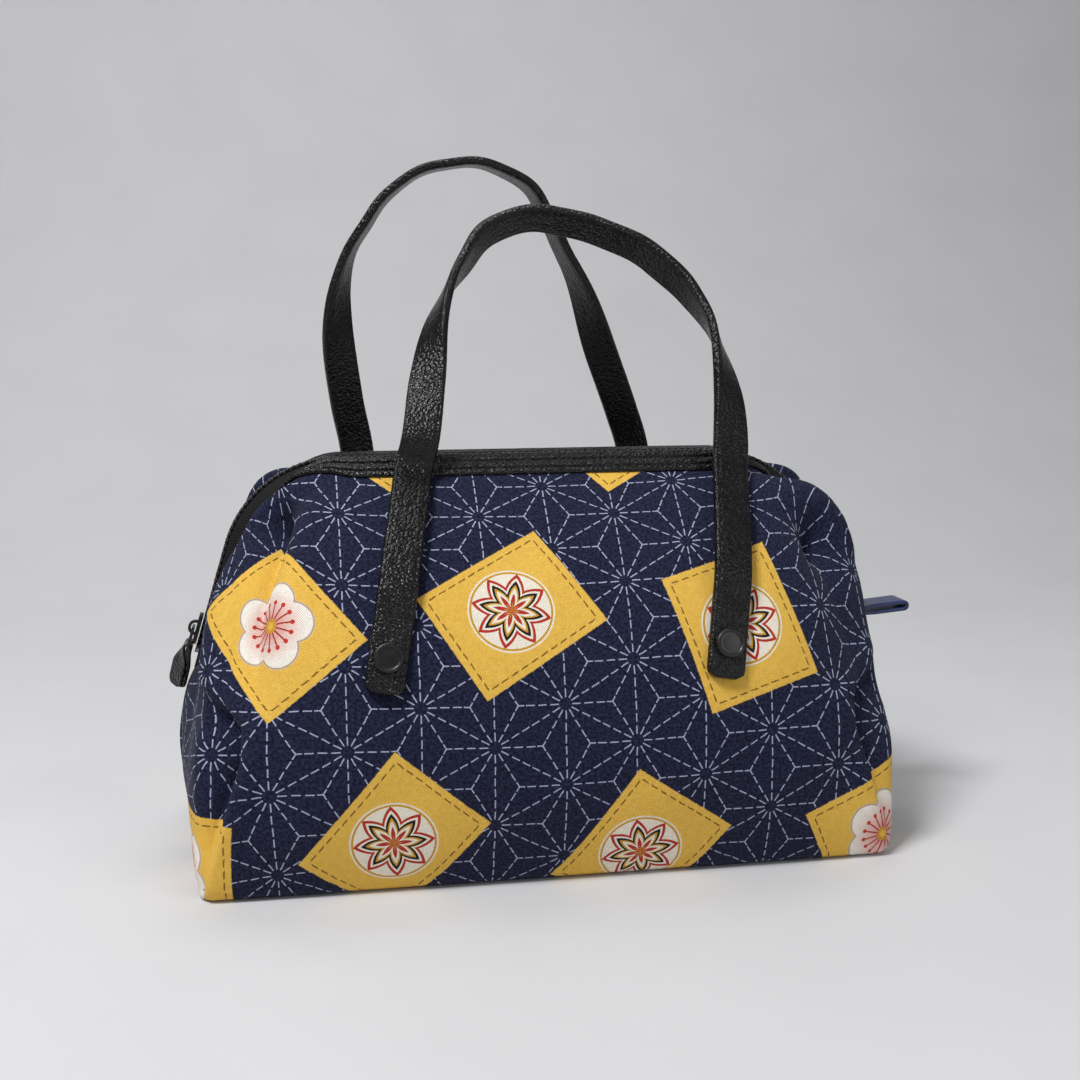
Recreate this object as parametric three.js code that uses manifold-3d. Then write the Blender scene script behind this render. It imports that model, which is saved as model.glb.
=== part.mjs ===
// A small zip-top lunch bag: two printed cotton panels on a flat base, a zip that runs over the top and
// down both ends, and two leatherette strap handles riveted to the panels. Millimetres, +Z up; the
// front faces -Y, the length runs along X, and the origin is the middle of the base, on the table.
import * as THREE from "three";
import { mergeVertices } from "three/addons/utils/BufferGeometryUtils.js";
import loadManifold from "manifold-3d";

const manifold = await loadManifold();
manifold.setup();

// Driving dimensions.
const clearance = 0.3;
const baseLength = 256;
const baseDepth = 124;
const baseCornerRadius = 7;
const clothThickness = 1.2;
const liningThickness = 0.8;
const boardThickness = 2;
const boardInset = 6;

const rimHeight = 148;
const zipCornerRadius = 45;
const zipEndHeight = 62;
const zipRunLean = 17;
const zipHalfWidth = 9;
const zipTaper = 14;
const zipRidge = 4.5;
const tapeThickness = 0.7;
const tapeTuck = 8;
const tapeMargin = 9;

const bellySwell = 20;
const endSwell = 8;
const bellyFullness = 1.28;
const cornerFullness = 0.85;
const shoulderFullness = 0.6;
const dimpleDepth = 8;
const dimpleAlong = 90;
const dimpleSpread = 12;
const earLift = 5;
const earAlong = 56;
const earSpread = 20;

const trimWidth = 11;
const trimTip = 1.5;
const trimThickness = 1.2;
const trimMargin = 88;
const trimTaper = 34;

const toothPitch = 5;
const toothLength = 1.8;
const toothReach = 1;
const chainHeight = 1.8;
const cordInner = 1.4;
const cordOuter = 2.6;
const chainStart = 16.5;
const chainEnd = 25.5;
const stopLength = 2;

const strapWidth = 14;
const strapThickness = 3.5;
const strapSeat = 0.5;
const strapEndLength = 12;
const strapEndRadius = 3;
const hingeRise = 9;
const hingeGap = 0.5;
const bandMargin = 2;

const rivetX = 60;
const rivetHeight = 84;
const rivetCapRadius = 5.2;
const rivetCapHeight = 2.2;
const rivetPostRadius = 1.8;
const rivetBackRadius = 4.6;
const rivetBackThickness = 1.2;

const sliderAt = 23;
const sliderLength = 12;
const sliderWidth = 8.4;
const sliderPlate = 1.5;
const sliderTail = 6.4;
const crownWidth = 1.6;
const crownLength = 6;
const crownWall = 1.1;
const crownOpening = 1.9;

const pullWire = 1.1;
const pullWireWidth = 1.2;
const pullNeck = 2.8;
const pullLength = 9.6;
const pullTabWidth = 10.5;
const pullTabLength = 20;
const pullTabLayer = 0.9;
const pullTabRadius = 3;

const fingerTabAt = 20;
const fingerTabLength = 30;
const fingerTabWidth = 12;
const fingerTabLayer = 1.4;
const fingerTabGap = 1.6;
const fingerTabDroop = 12;

// Handle routes between the hinges: x, how far in from the front of the base, and height above the rim,
// seen from each handle's own side.
const frontArch = [
  [-44, 41, 8], [-40, 53, 29], [-35, 65, 51], [-26.5, 75, 68], [-12, 84, 85], [8, 87, 91],
  [36.5, 83.5, 84], [54, 78, 74], [66, 71, 61], [73, 63, 47], [76, 51.5, 24], [75, 43.5, 3],
];
const backArch = [
  [-56, 0.5, -5], [-50, 3.5, 13], [-40, 6.5, 39], [-31, 9, 64], [-22, 10, 82], [-9, 11.5, 105],
  [15.5, 12, 115], [40, 11.5, 109], [58.5, 10.5, 90], [67, 9.5, 74], [70.5, 8, 50], [67.5, 4, 19],
  [63.5, 1, -3],
];
const legLean = 14;
const legLift = 2;
const legRimGap = 4;

// How far each strap has turned on itself, in degrees, at shares of its way from hinge to hinge.
const frontTwist = [[0, 0], [0.18, 0], [0.44, 128], [0.6, 128], [0.84, 0], [1, 0]];
const backTwist = [[0, 0], [0.2, 10], [0.36, 80], [0.5, 90], [0.64, 80], [0.8, 10], [1, 0]];

const printedCotton = { color: 0x1f2140, roughness: 0.9, metalness: 0 };
const liningCloth = { color: 0x24252e, roughness: 0.9, metalness: 0 };
const board = { color: 0xcfc8b8, roughness: 0.8, metalness: 0 };
const leatherette = { color: 0x15161a, roughness: 0.45, metalness: 0 };
const navyLeatherette = { color: 0x1c2a55, roughness: 0.35, metalness: 0 };
const zipTapeCloth = { color: 0x141416, roughness: 0.85, metalness: 0 };
const zipNylon = { color: 0x101012, roughness: 0.5, metalness: 0 };
const paintedMetal = { color: 0x18181b, roughness: 0.35, metalness: 0.6 };
const plainMetal = { color: 0x8d8f93, roughness: 0.4, metalness: 1 };

const { lerp, smoothstep, degToRad } = THREE.MathUtils;

function mesh(name, geometry, finish) {
  geometry.computeVertexNormals();
  const piece = new THREE.Mesh(geometry, new THREE.MeshStandardMaterial(finish));
  piece.name = name;
  return piece;
}

function toSolid(geometry) {
  const bare = geometry.clone();
  bare.deleteAttribute("normal");
  bare.deleteAttribute("uv");
  const joined = mergeVertices(bare, 1e-4);
  return new manifold.Manifold(new manifold.Mesh({
    numProp: 3,
    vertProperties: new Float32Array(joined.attributes.position.array),
    triVerts: new Uint32Array(joined.index.array),
  }));
}

function toGeometry(solid) {
  const faces = solid.getMesh();
  const geometry = new THREE.BufferGeometry();
  geometry.setAttribute("position", new THREE.BufferAttribute(faces.vertProperties, 3));
  geometry.setIndex(new THREE.BufferAttribute(faces.triVerts, 1));
  return geometry;
}

// A closed sheet between an outer and an inner face, given by their points at each share across and row up.
function sheetGeometry(shares, rows, outer, inner) {
  const points = [];
  for (const side of [outer, inner]) {
    for (let j = 0; j <= rows; j += 1) {
      for (const share of shares) {
        points.push(side(share, j));
      }
    }
  }
  const columns = shares.length - 1;
  const half = (columns + 1) * (rows + 1);
  const at = (i, j, side) => side * half + j * (columns + 1) + i;
  const faces = [];
  const quad = (a, b, c, d) => faces.push(a, b, c, a, c, d);
  for (let j = 0; j < rows; j += 1) {
    for (let i = 0; i < columns; i += 1) {
      quad(at(i, j, 0), at(i + 1, j, 0), at(i + 1, j + 1, 0), at(i, j + 1, 0));
      quad(at(i, j + 1, 1), at(i + 1, j + 1, 1), at(i + 1, j, 1), at(i, j, 1));
    }
  }
  for (let i = 0; i < columns; i += 1) {
    quad(at(i + 1, 0, 0), at(i, 0, 0), at(i, 0, 1), at(i + 1, 0, 1));
    quad(at(i, rows, 0), at(i + 1, rows, 0), at(i + 1, rows, 1), at(i, rows, 1));
  }
  for (let j = 0; j < rows; j += 1) {
    quad(at(0, j, 0), at(0, j + 1, 0), at(0, j + 1, 1), at(0, j, 1));
    quad(at(columns, j + 1, 0), at(columns, j, 0), at(columns, j, 1), at(columns, j + 1, 1));
  }
  return new THREE.BufferGeometry().setFromPoints(points).setIndex(faces);
}

// A closed bar through a run of rings that all have the same number of points.
function barGeometry(rings) {
  const count = rings[0].length;
  const faces = [];
  for (let k = 0; k + 1 < rings.length; k += 1) {
    for (let i = 0; i < count; i += 1) {
      const next = (i + 1) % count;
      const [a, b] = [k * count + i, k * count + next];
      faces.push(a, b, b + count, a, b + count, a + count);
    }
  }
  const last = (rings.length - 1) * count;
  for (let i = 1; i + 1 < count; i += 1) {
    faces.push(0, i + 1, i, last, last + i, last + i + 1);
  }
  return new THREE.BufferGeometry().setFromPoints(rings.flat()).setIndex(faces);
}

function roundedRectangle(halfX, halfY, radius) {
  const shape = new THREE.Shape();
  shape.absarc(halfX - radius, halfY - radius, radius, 0, Math.PI / 2);
  shape.absarc(radius - halfX, halfY - radius, radius, Math.PI / 2, Math.PI);
  shape.absarc(radius - halfX, radius - halfY, radius, Math.PI, 1.5 * Math.PI);
  shape.absarc(halfX - radius, radius - halfY, radius, 1.5 * Math.PI, 2 * Math.PI);
  return shape;
}

function plate(shape, thickness, curveSegments = 4) {
  return new THREE.ExtrudeGeometry(shape, { depth: thickness, bevelEnabled: false, curveSegments });
}

// The zip's line in the XZ plane: up the left end, round the corner, along the top, and down again.
const lean = degToRad(zipRunLean);
const cornerZ = rimHeight - zipCornerRadius;
const runLength = (cornerZ - zipEndHeight + zipCornerRadius * Math.sin(lean)) / Math.cos(lean);
const zipEndX = baseLength / 2 + zipRidge;
const topHalf = zipEndX - runLength * Math.sin(lean) - zipCornerRadius * Math.cos(lean);
const zipPath = new THREE.Path();
zipPath.moveTo(-zipEndX, zipEndHeight);
zipPath.lineTo(runLength * Math.sin(lean) - zipEndX, zipEndHeight + runLength * Math.cos(lean));
zipPath.absarc(-topHalf, cornerZ, zipCornerRadius, Math.PI - lean, Math.PI / 2, true);
zipPath.absarc(topHalf, cornerZ, zipCornerRadius, Math.PI / 2, lean, true);
zipPath.lineTo(zipEndX, zipEndHeight);
const zipLength = zipPath.getLength();

// Axes on the zip at a distance from its left end: x along it, y across it, z out of the bag.
function zipFrame(distance) {
  const share = distance / zipLength;
  const place = zipPath.getPoint(share);
  const tangent = zipPath.getTangent(share);
  const along = new THREE.Vector3(tangent.x, 0, tangent.y);
  const across = new THREE.Vector3(0, 1, 0);
  const out = new THREE.Vector3().crossVectors(along, across);
  return new THREE.Matrix4().makeBasis(along, across, out).setPosition(place.x, 0, place.y);
}

function onZip(distance, across, out) {
  return new THREE.Vector3(0, across, out).applyMatrix4(zipFrame(distance));
}

// The rims lie zipHalfWidth from the middle of the zip, and close to the end seam at both its ends.
function rimOffset(distance) {
  const fromEnd = Math.min(distance, zipLength - distance);
  return lerp(clearance / 2, zipHalfWidth, smoothstep(fromEnd, 0, zipTaper));
}

// Down the bag's ends the zip stands as a ridge above the rims; along the top it is level with them.
function ridgeAt(distance) {
  const fromEnd = Math.min(distance, zipLength - distance);
  const cornerLength = zipCornerRadius * (Math.PI / 2 - lean);
  const rise = smoothstep(fromEnd, 0, 2 * zipTaper);
  return zipRidge * rise * (1 - smoothstep(fromEnd, runLength, runLength + cornerLength));
}

// The front half of the base's edge, from the middle of the left end round to that of the right end.
const basePath = new THREE.Path();
basePath.moveTo(-baseLength / 2, -clearance / 2);
basePath.lineTo(-baseLength / 2, baseCornerRadius - baseDepth / 2);
basePath.absarc(
  baseCornerRadius - baseLength / 2, baseCornerRadius - baseDepth / 2,
  baseCornerRadius, Math.PI, 1.5 * Math.PI,
);
basePath.absarc(
  baseLength / 2 - baseCornerRadius, baseCornerRadius - baseDepth / 2,
  baseCornerRadius, 1.5 * Math.PI, 2 * Math.PI,
);
basePath.lineTo(baseLength / 2, -clearance / 2);
const cornerShare = baseDepth / 2 / basePath.getLength();

// The front panel's outer face. u runs from the left end seam to the right one, v from base to rim.
function panelCurve(u, v) {
  const edge = basePath.getPoint(u);
  const tangent = basePath.getTangent(u);
  const distance = u * zipLength;
  const rim = onZip(distance, -rimOffset(distance), -ridgeAt(distance));
  const across = THREE.MathUtils.clamp((u - cornerShare) / (1 - 2 * cornerShare), 0, 1);
  const belly = 1 - Math.abs(2 * across - 1) ** 4;
  const swell = lerp(endSwell, bellySwell, belly);
  const fullness = lerp(cornerFullness, bellyFullness, belly);
  const start = new THREE.Vector3(edge.x, edge.y, 0);
  const low = new THREE.Vector3(edge.x + tangent.y * swell, edge.y - tangent.x * swell, 0.3 * rim.z);
  const high = new THREE.Vector3(
    lerp(rim.x, edge.x, shoulderFullness) + tangent.y * endSwell,
    lerp(rim.y, edge.y, fullness),
    0.7 * rim.z,
  );
  return new THREE.CubicBezierCurve3(start, low, high, rim).getPoint(v);
}

function facing(surface, u, v) {
  const [du, dv] = [0.004, 0.01];
  const right = surface(Math.min(u + du, 1), v).sub(surface(Math.max(u - du, 0), v));
  const up = surface(u, Math.min(v + dv, 1)).sub(surface(u, Math.max(v - dv, 0)));
  return right.cross(up).normalize();
}

// A soft hump of the cloth: full at one place on each half of the panel, and fading off along and up it.
function hump(u, v, along, spread, height, rise) {
  const side = (Math.min(u, 1 - u) * zipLength - along) / spread;
  const up = (v - height) / rise;
  return Math.exp(-(side * side + up * up) / 2);
}

// Below each corner of the zip the cloth is drawn in to a dimple, and outside that it stands out as an
// ear below the strip that the zip's seam holds.
function panelPoint(u, v, lift = earLift) {
  const free = smoothstep(1 - v, 0.05, 0.14);
  const ear = lift * hump(u, v, earAlong, earSpread, 0.87, 0.09) * free;
  const dimple = dimpleDepth * hump(u, v, dimpleAlong, dimpleSpread, 0.83, 0.08);
  return panelCurve(u, v).addScaledVector(facing(panelCurve, u, v), ear - dimple);
}

// A point off the panel, kept on its own side of the end seams and above the table.
function offPanel(u, v, distance, lift = earLift) {
  const surface = (a, b) => panelPoint(a, b, lift);
  const point = surface(u, v).addScaledVector(facing(surface, u, v), distance);
  point.y = Math.min(point.y, -clearance / 2);
  point.z = Math.max(point.z, 0);
  return point;
}

// The height share on column u at a distance down the cloth from the rim.
function belowRim(u, distance) {
  const step = 0.02;
  return 1 - step * distance / panelPoint(u, 1).distanceTo(panelPoint(u, 1 - step));
}

// Every piece along the zip has its sections on the panel's own columns, so that their facets lie together.
// They are even, with three more round each corner of the base and one at each end of the tapes.
const panelColumns = 36;
function columnShares(startMargin, endMargin = startMargin) {
  const from = startMargin / zipLength;
  const to = 1 - endMargin / zipLength;
  const shares = [];
  for (let i = 0; i <= panelColumns; i += 1) {
    shares.push(i / panelColumns);
  }
  for (const step of [-0.8, 0, 0.8]) {
    const share = cornerShare + (step - 0.2) * baseCornerRadius / basePath.getLength();
    shares.push(share, 1 - share);
  }
  shares.push(tapeMargin / zipLength, 1 - tapeMargin / zipLength);
  const gap = 0.002;
  const inside = shares.filter((share) => share > from + gap && share < to - gap);
  return [from, ...inside.sort((a, b) => a - b), to];
}

function search(low, high, tooLow) {
  for (let k = 0; k < 30; k += 1) {
    const middle = (low + high) / 2;
    if (tooLow(middle)) low = middle;
    else high = middle;
  }
  return (low + high) / 2;
}

function findOnPanel(x, z) {
  const columnAt = (v) => search(0.2, 0.8, (u) => panelPoint(u, v).x < x);
  const v = search(0, 1, (share) => panelPoint(columnAt(share), share).z < z);
  return [columnAt(v), v];
}

// The panel's rows: a flat band behind the strap ends, even rows under and over it, and the lines near the
// rim on which the trim and the tape end.
const bandLow = findOnPanel(rivetX, rivetHeight - strapEndLength - bandMargin)[1];
const bandHigh = findOnPanel(rivetX, rivetHeight + hingeRise + bandMargin)[1];
const panelRows = 8;
function panelRow(u, row) {
  const trimLine = belowRim(u, trimWidth);
  return [
    0, bandLow / 3, 2 * bandLow / 3, bandLow, bandHigh, (bandHigh + trimLine) / 2,
    trimLine, belowRim(u, tapeTuck), 1,
  ][row];
}

// Depths of the layers, measured in from the panel's outer face and up from the table.
const tapeDepth = clothThickness + clearance;
const liningDepth = clothThickness + rivetBackThickness + 3 * clearance;
const boardBottom = clothThickness + clearance;
const baseLiningBottom = boardBottom + boardThickness + clearance;
const liningBottom = baseLiningBottom + liningThickness + clearance;

// Axes at a rivet: x across the strap, y up the cloth, z out of the bag.
function rivetFrame(x) {
  const [u] = findOnPanel(x, rivetHeight);
  const low = panelPoint(u, bandLow);
  const high = panelPoint(u, bandHigh);
  const place = new THREE.Vector3().lerpVectors(low, high, (rivetHeight - low.z) / (high.z - low.z));
  const up = new THREE.Vector3().subVectors(high, low).normalize();
  const right = panelPoint(u + 0.01, bandLow).sub(panelPoint(u - 0.01, bandLow));
  const out = right.cross(up).normalize();
  const across = new THREE.Vector3().crossVectors(up, out);
  return new THREE.Matrix4().makeBasis(across, up, out).setPosition(place);
}

function panelGeometry() {
  const cloth = sheetGeometry(
    columnShares(0), panelRows,
    (u, row) => offPanel(u, panelRow(u, row), 0),
    (u, row) => offPanel(u, panelRow(u, row), -clothThickness),
  );
  let solid = toSolid(cloth);
  for (const x of [-rivetX, rivetX]) {
    const radius = rivetPostRadius + clearance;
    const hole = new THREE.CylinderGeometry(radius, radius, 6 * clothThickness, 14);
    hole.rotateX(Math.PI / 2).applyMatrix4(rivetFrame(x));
    solid = solid.subtract(toSolid(hole));
  }
  return toGeometry(solid);
}

// The lining follows the panel, but hangs straight behind its ears.
function liningGeometry() {
  const height = (u, row) => {
    const low = search(0, 0.5, (share) => panelPoint(u, share).z < liningBottom);
    return Math.max(low, panelRow(u, row));
  };
  const rows = [0, 2, 3, 4, 5, 7];
  return sheetGeometry(
    columnShares(0), rows.length - 1,
    (u, row) => offPanel(u, height(u, rows[row]), -liningDepth, 0),
    (u, row) => offPanel(u, height(u, rows[row]), -liningDepth - liningThickness, 0),
  );
}

// A tape lies under the teeth and turns down inside the panel, where it is sewn.
function tapeGeometry() {
  const rings = [];
  for (const u of columnShares(tapeMargin)) {
    const distance = u * zipLength;
    const flat = Math.min(cordOuter + 2, rimOffset(distance) - 3);
    const ring = [];
    for (const depth of [tapeDepth, tapeDepth + tapeThickness]) {
      const side = [
        onZip(distance, -clearance, -depth),
        onZip(distance, -flat, -depth),
        offPanel(u, 1, -depth - clearance),
        offPanel(u, belowRim(u, tapeTuck), -depth - 2 * clearance),
      ];
      ring.push(...(depth === tapeDepth ? side : side.reverse()));
    }
    rings.push(ring);
  }
  return barGeometry(rings);
}

// One row of teeth: a cord sewn to the tape, with teeth that reach past the middle of the zip. The other
// row is the same one turned round, so its teeth fall between these.
function teethGeometry(startMargin, endMargin) {
  const bottom = clearance - tapeDepth;
  const top = bottom + chainHeight;
  const rings = [];
  for (const share of columnShares(startMargin, endMargin)) {
    const distance = share * zipLength;
    rings.push([
      onZip(distance, -cordInner, top), onZip(distance, -cordOuter, top),
      onZip(distance, -cordOuter, bottom), onZip(distance, -cordInner, bottom),
    ]);
  }
  const row = [toSolid(barGeometry(rings))];
  const root = 0.5;
  const first = Math.ceil((startMargin + toothLength - zipLength / 2) / toothPitch);
  const last = Math.floor((zipLength / 2 - endMargin - toothLength) / toothPitch) - 1;
  for (let k = first; k <= last; k += 1) {
    const distance = zipLength / 2 + (k + 0.25) * toothPitch;
    const width = cordInner + toothReach + root;
    const tooth = new THREE.BoxGeometry(toothLength, width, chainHeight - 0.4);
    tooth.translate(0, toothReach - width / 2, (top + bottom) / 2);
    row.push(toSolid(tooth.applyMatrix4(zipFrame(distance))));
  }
  return toGeometry(manifold.Manifold.union(row));
}

// A trim strip lies on the panel along the rim and tapers to its tips at the zip's corners.
function trimGeometry() {
  const rows = 2;
  const place = (u, row, lift) => {
    const fromTip = Math.min(u, 1 - u) * zipLength - trimMargin;
    const width = lerp(trimTip, trimWidth, smoothstep(fromTip, 0, trimTaper));
    return offPanel(u, belowRim(u, width * (1 - row / rows)), lift);
  };
  return sheetGeometry(
    columnShares(trimMargin), rows,
    (u, row) => place(u, row, clearance + trimThickness),
    (u, row) => place(u, row, clearance),
  );
}

function rivetCapGeometry() {
  const head = strapSeat + strapThickness + clearance;
  const foot = -clothThickness - clearance - rivetBackThickness - clearance / 2;
  const profile = [
    [0, foot], [rivetPostRadius, foot], [rivetPostRadius, head], [rivetCapRadius, head],
    [rivetCapRadius, head + 0.5 * rivetCapHeight], [0.88 * rivetCapRadius, head + rivetCapHeight],
    [0.72 * rivetCapRadius, head + rivetCapHeight], [0.62 * rivetCapRadius, head + 0.75 * rivetCapHeight],
    [0, head + 0.75 * rivetCapHeight],
  ];
  const turned = new THREE.LatheGeometry(profile.map(([r, z]) => new THREE.Vector2(r, z)), 12);
  return turned.rotateX(Math.PI / 2);
}

function rivetBackGeometry() {
  const shape = new THREE.Shape().absarc(0, 0, rivetBackRadius, 0, 2 * Math.PI);
  shape.holes.push(new THREE.Path().absarc(0, 0, rivetPostRadius + clearance, 0, 2 * Math.PI));
  const bottom = -clothThickness - clearance - rivetBackThickness;
  return plate(shape, rivetBackThickness, 6).translate(0, 0, bottom);
}

// The end of a strap, flat on the panel under its rivet, with a round hole for the post.
function strapEndGeometry() {
  const half = strapWidth / 2;
  const low = -strapEndLength;
  const shape = new THREE.Shape();
  shape.moveTo(half, hingeRise);
  shape.lineTo(-half, hingeRise);
  shape.absarc(strapEndRadius - half, low + strapEndRadius, strapEndRadius, Math.PI, 1.5 * Math.PI);
  shape.absarc(half - strapEndRadius, low + strapEndRadius, strapEndRadius, 1.5 * Math.PI, 2 * Math.PI);
  shape.holes.push(new THREE.Path().absarc(0, 0, rivetPostRadius + clearance, 0, 2 * Math.PI));
  return plate(shape, strapThickness).translate(0, 0, strapSeat);
}

function twistAt(twist, share) {
  const next = Math.max(1, twist.findIndex(([place]) => place >= share));
  const [from, low] = twist[next - 1];
  const [to, high] = twist[next];
  return degToRad(lerp(low, high, smoothstep(share, from, to)));
}

// Where a strap leaves the end under its rivet, and a point further up along the same line.
function hingeStart(x, rise) {
  const start = new THREE.Vector3(0, hingeRise + hingeGap + rise, strapSeat + strapThickness / 2);
  return start.applyMatrix4(rivetFrame(x));
}

// The front handle's legs lie along the panel up to the rim, a little clear of the cloth and the trim.
function legPoint(x, share) {
  const height = lerp(rivetHeight + hingeRise, rimHeight - legRimGap, share);
  const [u, v] = findOnPanel(x + legLean * share, height);
  return offPanel(u, v, strapThickness / 2 + strapSeat + legLift + trimThickness * share);
}

function handleRoute(arch, legShares) {
  const lift = ([x, inset, rise]) => new THREE.Vector3(x, inset - baseDepth / 2, rimHeight + rise);
  return new THREE.CatmullRomCurve3([
    hingeStart(-rivetX, 0), hingeStart(-rivetX, 4),
    ...legShares.map((share) => legPoint(-rivetX, share)),
    ...arch.map(lift),
    ...legShares.toReversed().map((share) => legPoint(rivetX, share)),
    hingeStart(rivetX, 4), hingeStart(rivetX, 0),
  ], false, "centripetal");
}

// A strap swept along its route: a flat section with rounded edges that turns on itself at the shoulders.
function handleGeometry(route, twist) {
  const steps = 40;
  const [halfWidth, halfThickness] = [strapWidth / 2, strapThickness / 2];
  const round = 0.45 * strapThickness;
  const section = [];
  for (const [sx, sy] of [[1, -1], [1, 1], [-1, 1], [-1, -1]]) {
    const corner = [[sx * halfWidth, sy * (halfThickness - round)], [sx * (halfWidth - round), sy * halfThickness]];
    section.push(...(sx * sy > 0 ? corner : corner.reverse()));
  }
  const rings = [];
  for (let k = 0; k <= steps; k += 1) {
    const share = k / steps;
    const centre = route.getPointAt(share);
    const along = route.getTangentAt(share);
    const face = new THREE.Vector3(0, -1, 0).addScaledVector(along, along.y).normalize();
    const outward = new THREE.Vector3().crossVectors(face, along);
    const turn = twistAt(twist, share);
    const normal = face.multiplyScalar(Math.cos(turn)).addScaledVector(outward, Math.sin(turn));
    const across = new THREE.Vector3().crossVectors(normal, along);
    rings.push(section.map(([w, t]) => (
      centre.clone().addScaledVector(across, w).addScaledVector(normal, t)
    )));
  }
  return barGeometry(rings);
}

// Half of the bag, made for the front; the back half is the same, turned round.
function bagHalf(side, arch, legShares, twist) {
  const half = new THREE.Group();
  const margins = side === "front" ? [chainStart, chainEnd] : [chainEnd, chainStart];
  half.add(
    mesh(`${side}_panel`, panelGeometry(), printedCotton),
    mesh(`${side}_lining`, liningGeometry(), liningCloth),
    mesh(`${side}_zip_tape`, tapeGeometry(), zipTapeCloth),
    mesh(`${side}_zip_teeth`, teethGeometry(...margins), zipNylon),
    mesh(`${side}_trim`, trimGeometry(), leatherette),
    mesh(`${side}_handle`, handleGeometry(handleRoute(arch, legShares), twist), leatherette),
  );
  for (const x of [-rivetX, rivetX]) {
    const hand = (side === "front") === (x < 0) ? "left" : "right";
    const seat = new THREE.Group();
    seat.applyMatrix4(rivetFrame(x));
    seat.add(
      mesh(`${side}_${hand}_strap_end`, strapEndGeometry(), leatherette),
      mesh(`${side}_${hand}_rivet_cap`, rivetCapGeometry(), paintedMetal),
      mesh(`${side}_${hand}_rivet_back`, rivetBackGeometry(), plainMetal),
    );
    half.add(seat);
  }
  return half;
}

function baseLayer(name, inset, bottom, thickness, finish) {
  const radius = Math.max(baseCornerRadius - inset, 1);
  const shape = roundedRectangle(baseLength / 2 - inset, baseDepth / 2 - inset, radius);
  const layer = mesh(name, plate(shape, thickness), finish);
  layer.position.z = bottom;
  return layer;
}

function base() {
  const layers = new THREE.Group();
  const wall = clothThickness + 2 * clearance;
  layers.add(
    baseLayer("base_panel", wall, 0, clothThickness, printedCotton),
    baseLayer("base_board", boardInset, boardBottom, boardThickness, board),
    baseLayer("base_lining", wall + clearance, baseLiningBottom, liningThickness, liningCloth),
  );
  return layers;
}

// The slider's top plate is widest at its nose, which points at the zip's left end, and its crown is a
// loop that the pull hangs in.
const chainTop = clearance - tapeDepth + chainHeight;
const sliderBottom = chainTop + clearance;
const sliderTop = sliderBottom + sliderPlate;
const pullAxis = sliderTop + crownOpening / 2;

function sliderOutline(scale) {
  const [nose, tail] = [scale * sliderWidth / 2, scale * sliderTail / 2];
  const [front, back] = [-sliderLength / 2, sliderLength / 2];
  const shape = new THREE.Shape();
  shape.moveTo(front + 2, -nose);
  shape.bezierCurveTo(0, -nose, 0, -tail, back - 2, -tail);
  shape.quadraticCurveTo(back, -tail, back, 0);
  shape.quadraticCurveTo(back, tail, back - 2, tail);
  shape.bezierCurveTo(0, tail, 0, nose, front + 2, nose);
  shape.quadraticCurveTo(front, nose, front, 0);
  shape.quadraticCurveTo(front, -nose, front + 2, -nose);
  return shape;
}

function crownGeometry() {
  const shape = new THREE.Shape();
  const half = crownLength / 2;
  const top = crownOpening + crownWall;
  const sunk = -0.5 * sliderPlate;
  shape.moveTo(-half, sunk);
  shape.lineTo(half, sunk);
  shape.quadraticCurveTo(half, top, 0, top);
  shape.quadraticCurveTo(-half, top, -half, sunk);
  const opening = new THREE.Path();
  opening.moveTo(-half + crownWall, 0);
  opening.lineTo(half - crownWall, 0);
  opening.quadraticCurveTo(half - crownWall, crownOpening, 0, crownOpening);
  opening.quadraticCurveTo(-half + crownWall, crownOpening, -half + crownWall, 0);
  shape.holes.push(opening);
  const loop = plate(shape, crownWidth).rotateX(Math.PI / 2);
  return loop.translate(0, crownWidth / 2, sliderTop);
}

// The pull's wire loop: narrow in the crown and wide enough below for the tab to fold round it.
function pullLoopGeometry() {
  const neck = pullNeck / 2;
  const wide = pullTabWidth / 2 + 2 * clearance;
  const end = pullWire / 2 - pullLength;
  const shoulder = 0.5 * end;
  const outline = (offset) => [
    [pullWire / 2 + offset - pullWireWidth, neck + offset], [shoulder + 0.5 * offset, wide + offset],
    [end + pullWireWidth - offset, wide + offset],
  ];
  const points = (offset) => {
    const side = outline(offset);
    const mirrored = side.toReversed().map(([x, y]) => [x, -y]);
    return [...side, ...mirrored].map(([x, y]) => new THREE.Vector2(x, y));
  };
  const shape = new THREE.Shape(points(pullWireWidth));
  shape.holes.push(new THREE.Path(points(0)));
  return plate(shape, pullWire).translate(0, 0, -pullWire / 2);
}

// A strip of leatherette folded round the end of the loop and sewn to itself, with rounded corners.
function pullTabGeometry() {
  const barNear = pullWire / 2 - pullLength + pullWireWidth;
  const slotHalf = pullWire / 2 + clearance;
  const slotNear = barNear + clearance;
  const slotFar = barNear - pullWireWidth - clearance;
  const near = slotNear + pullTabLayer;
  const far = near - pullTabLength;
  const middle = (near + far) / 2;
  const outline = roundedRectangle(pullTabLength / 2, pullTabWidth / 2, pullTabRadius);
  const half = slotHalf + pullTabLayer;
  const body = toSolid(plate(outline, 2 * half).translate(middle, 0, -half));
  const slot = new THREE.BoxGeometry(slotNear - slotFar, 2 * pullTabWidth, 2 * slotHalf);
  return toGeometry(body.subtract(toSolid(slot.translate((slotNear + slotFar) / 2, 0, 0))));
}

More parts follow.
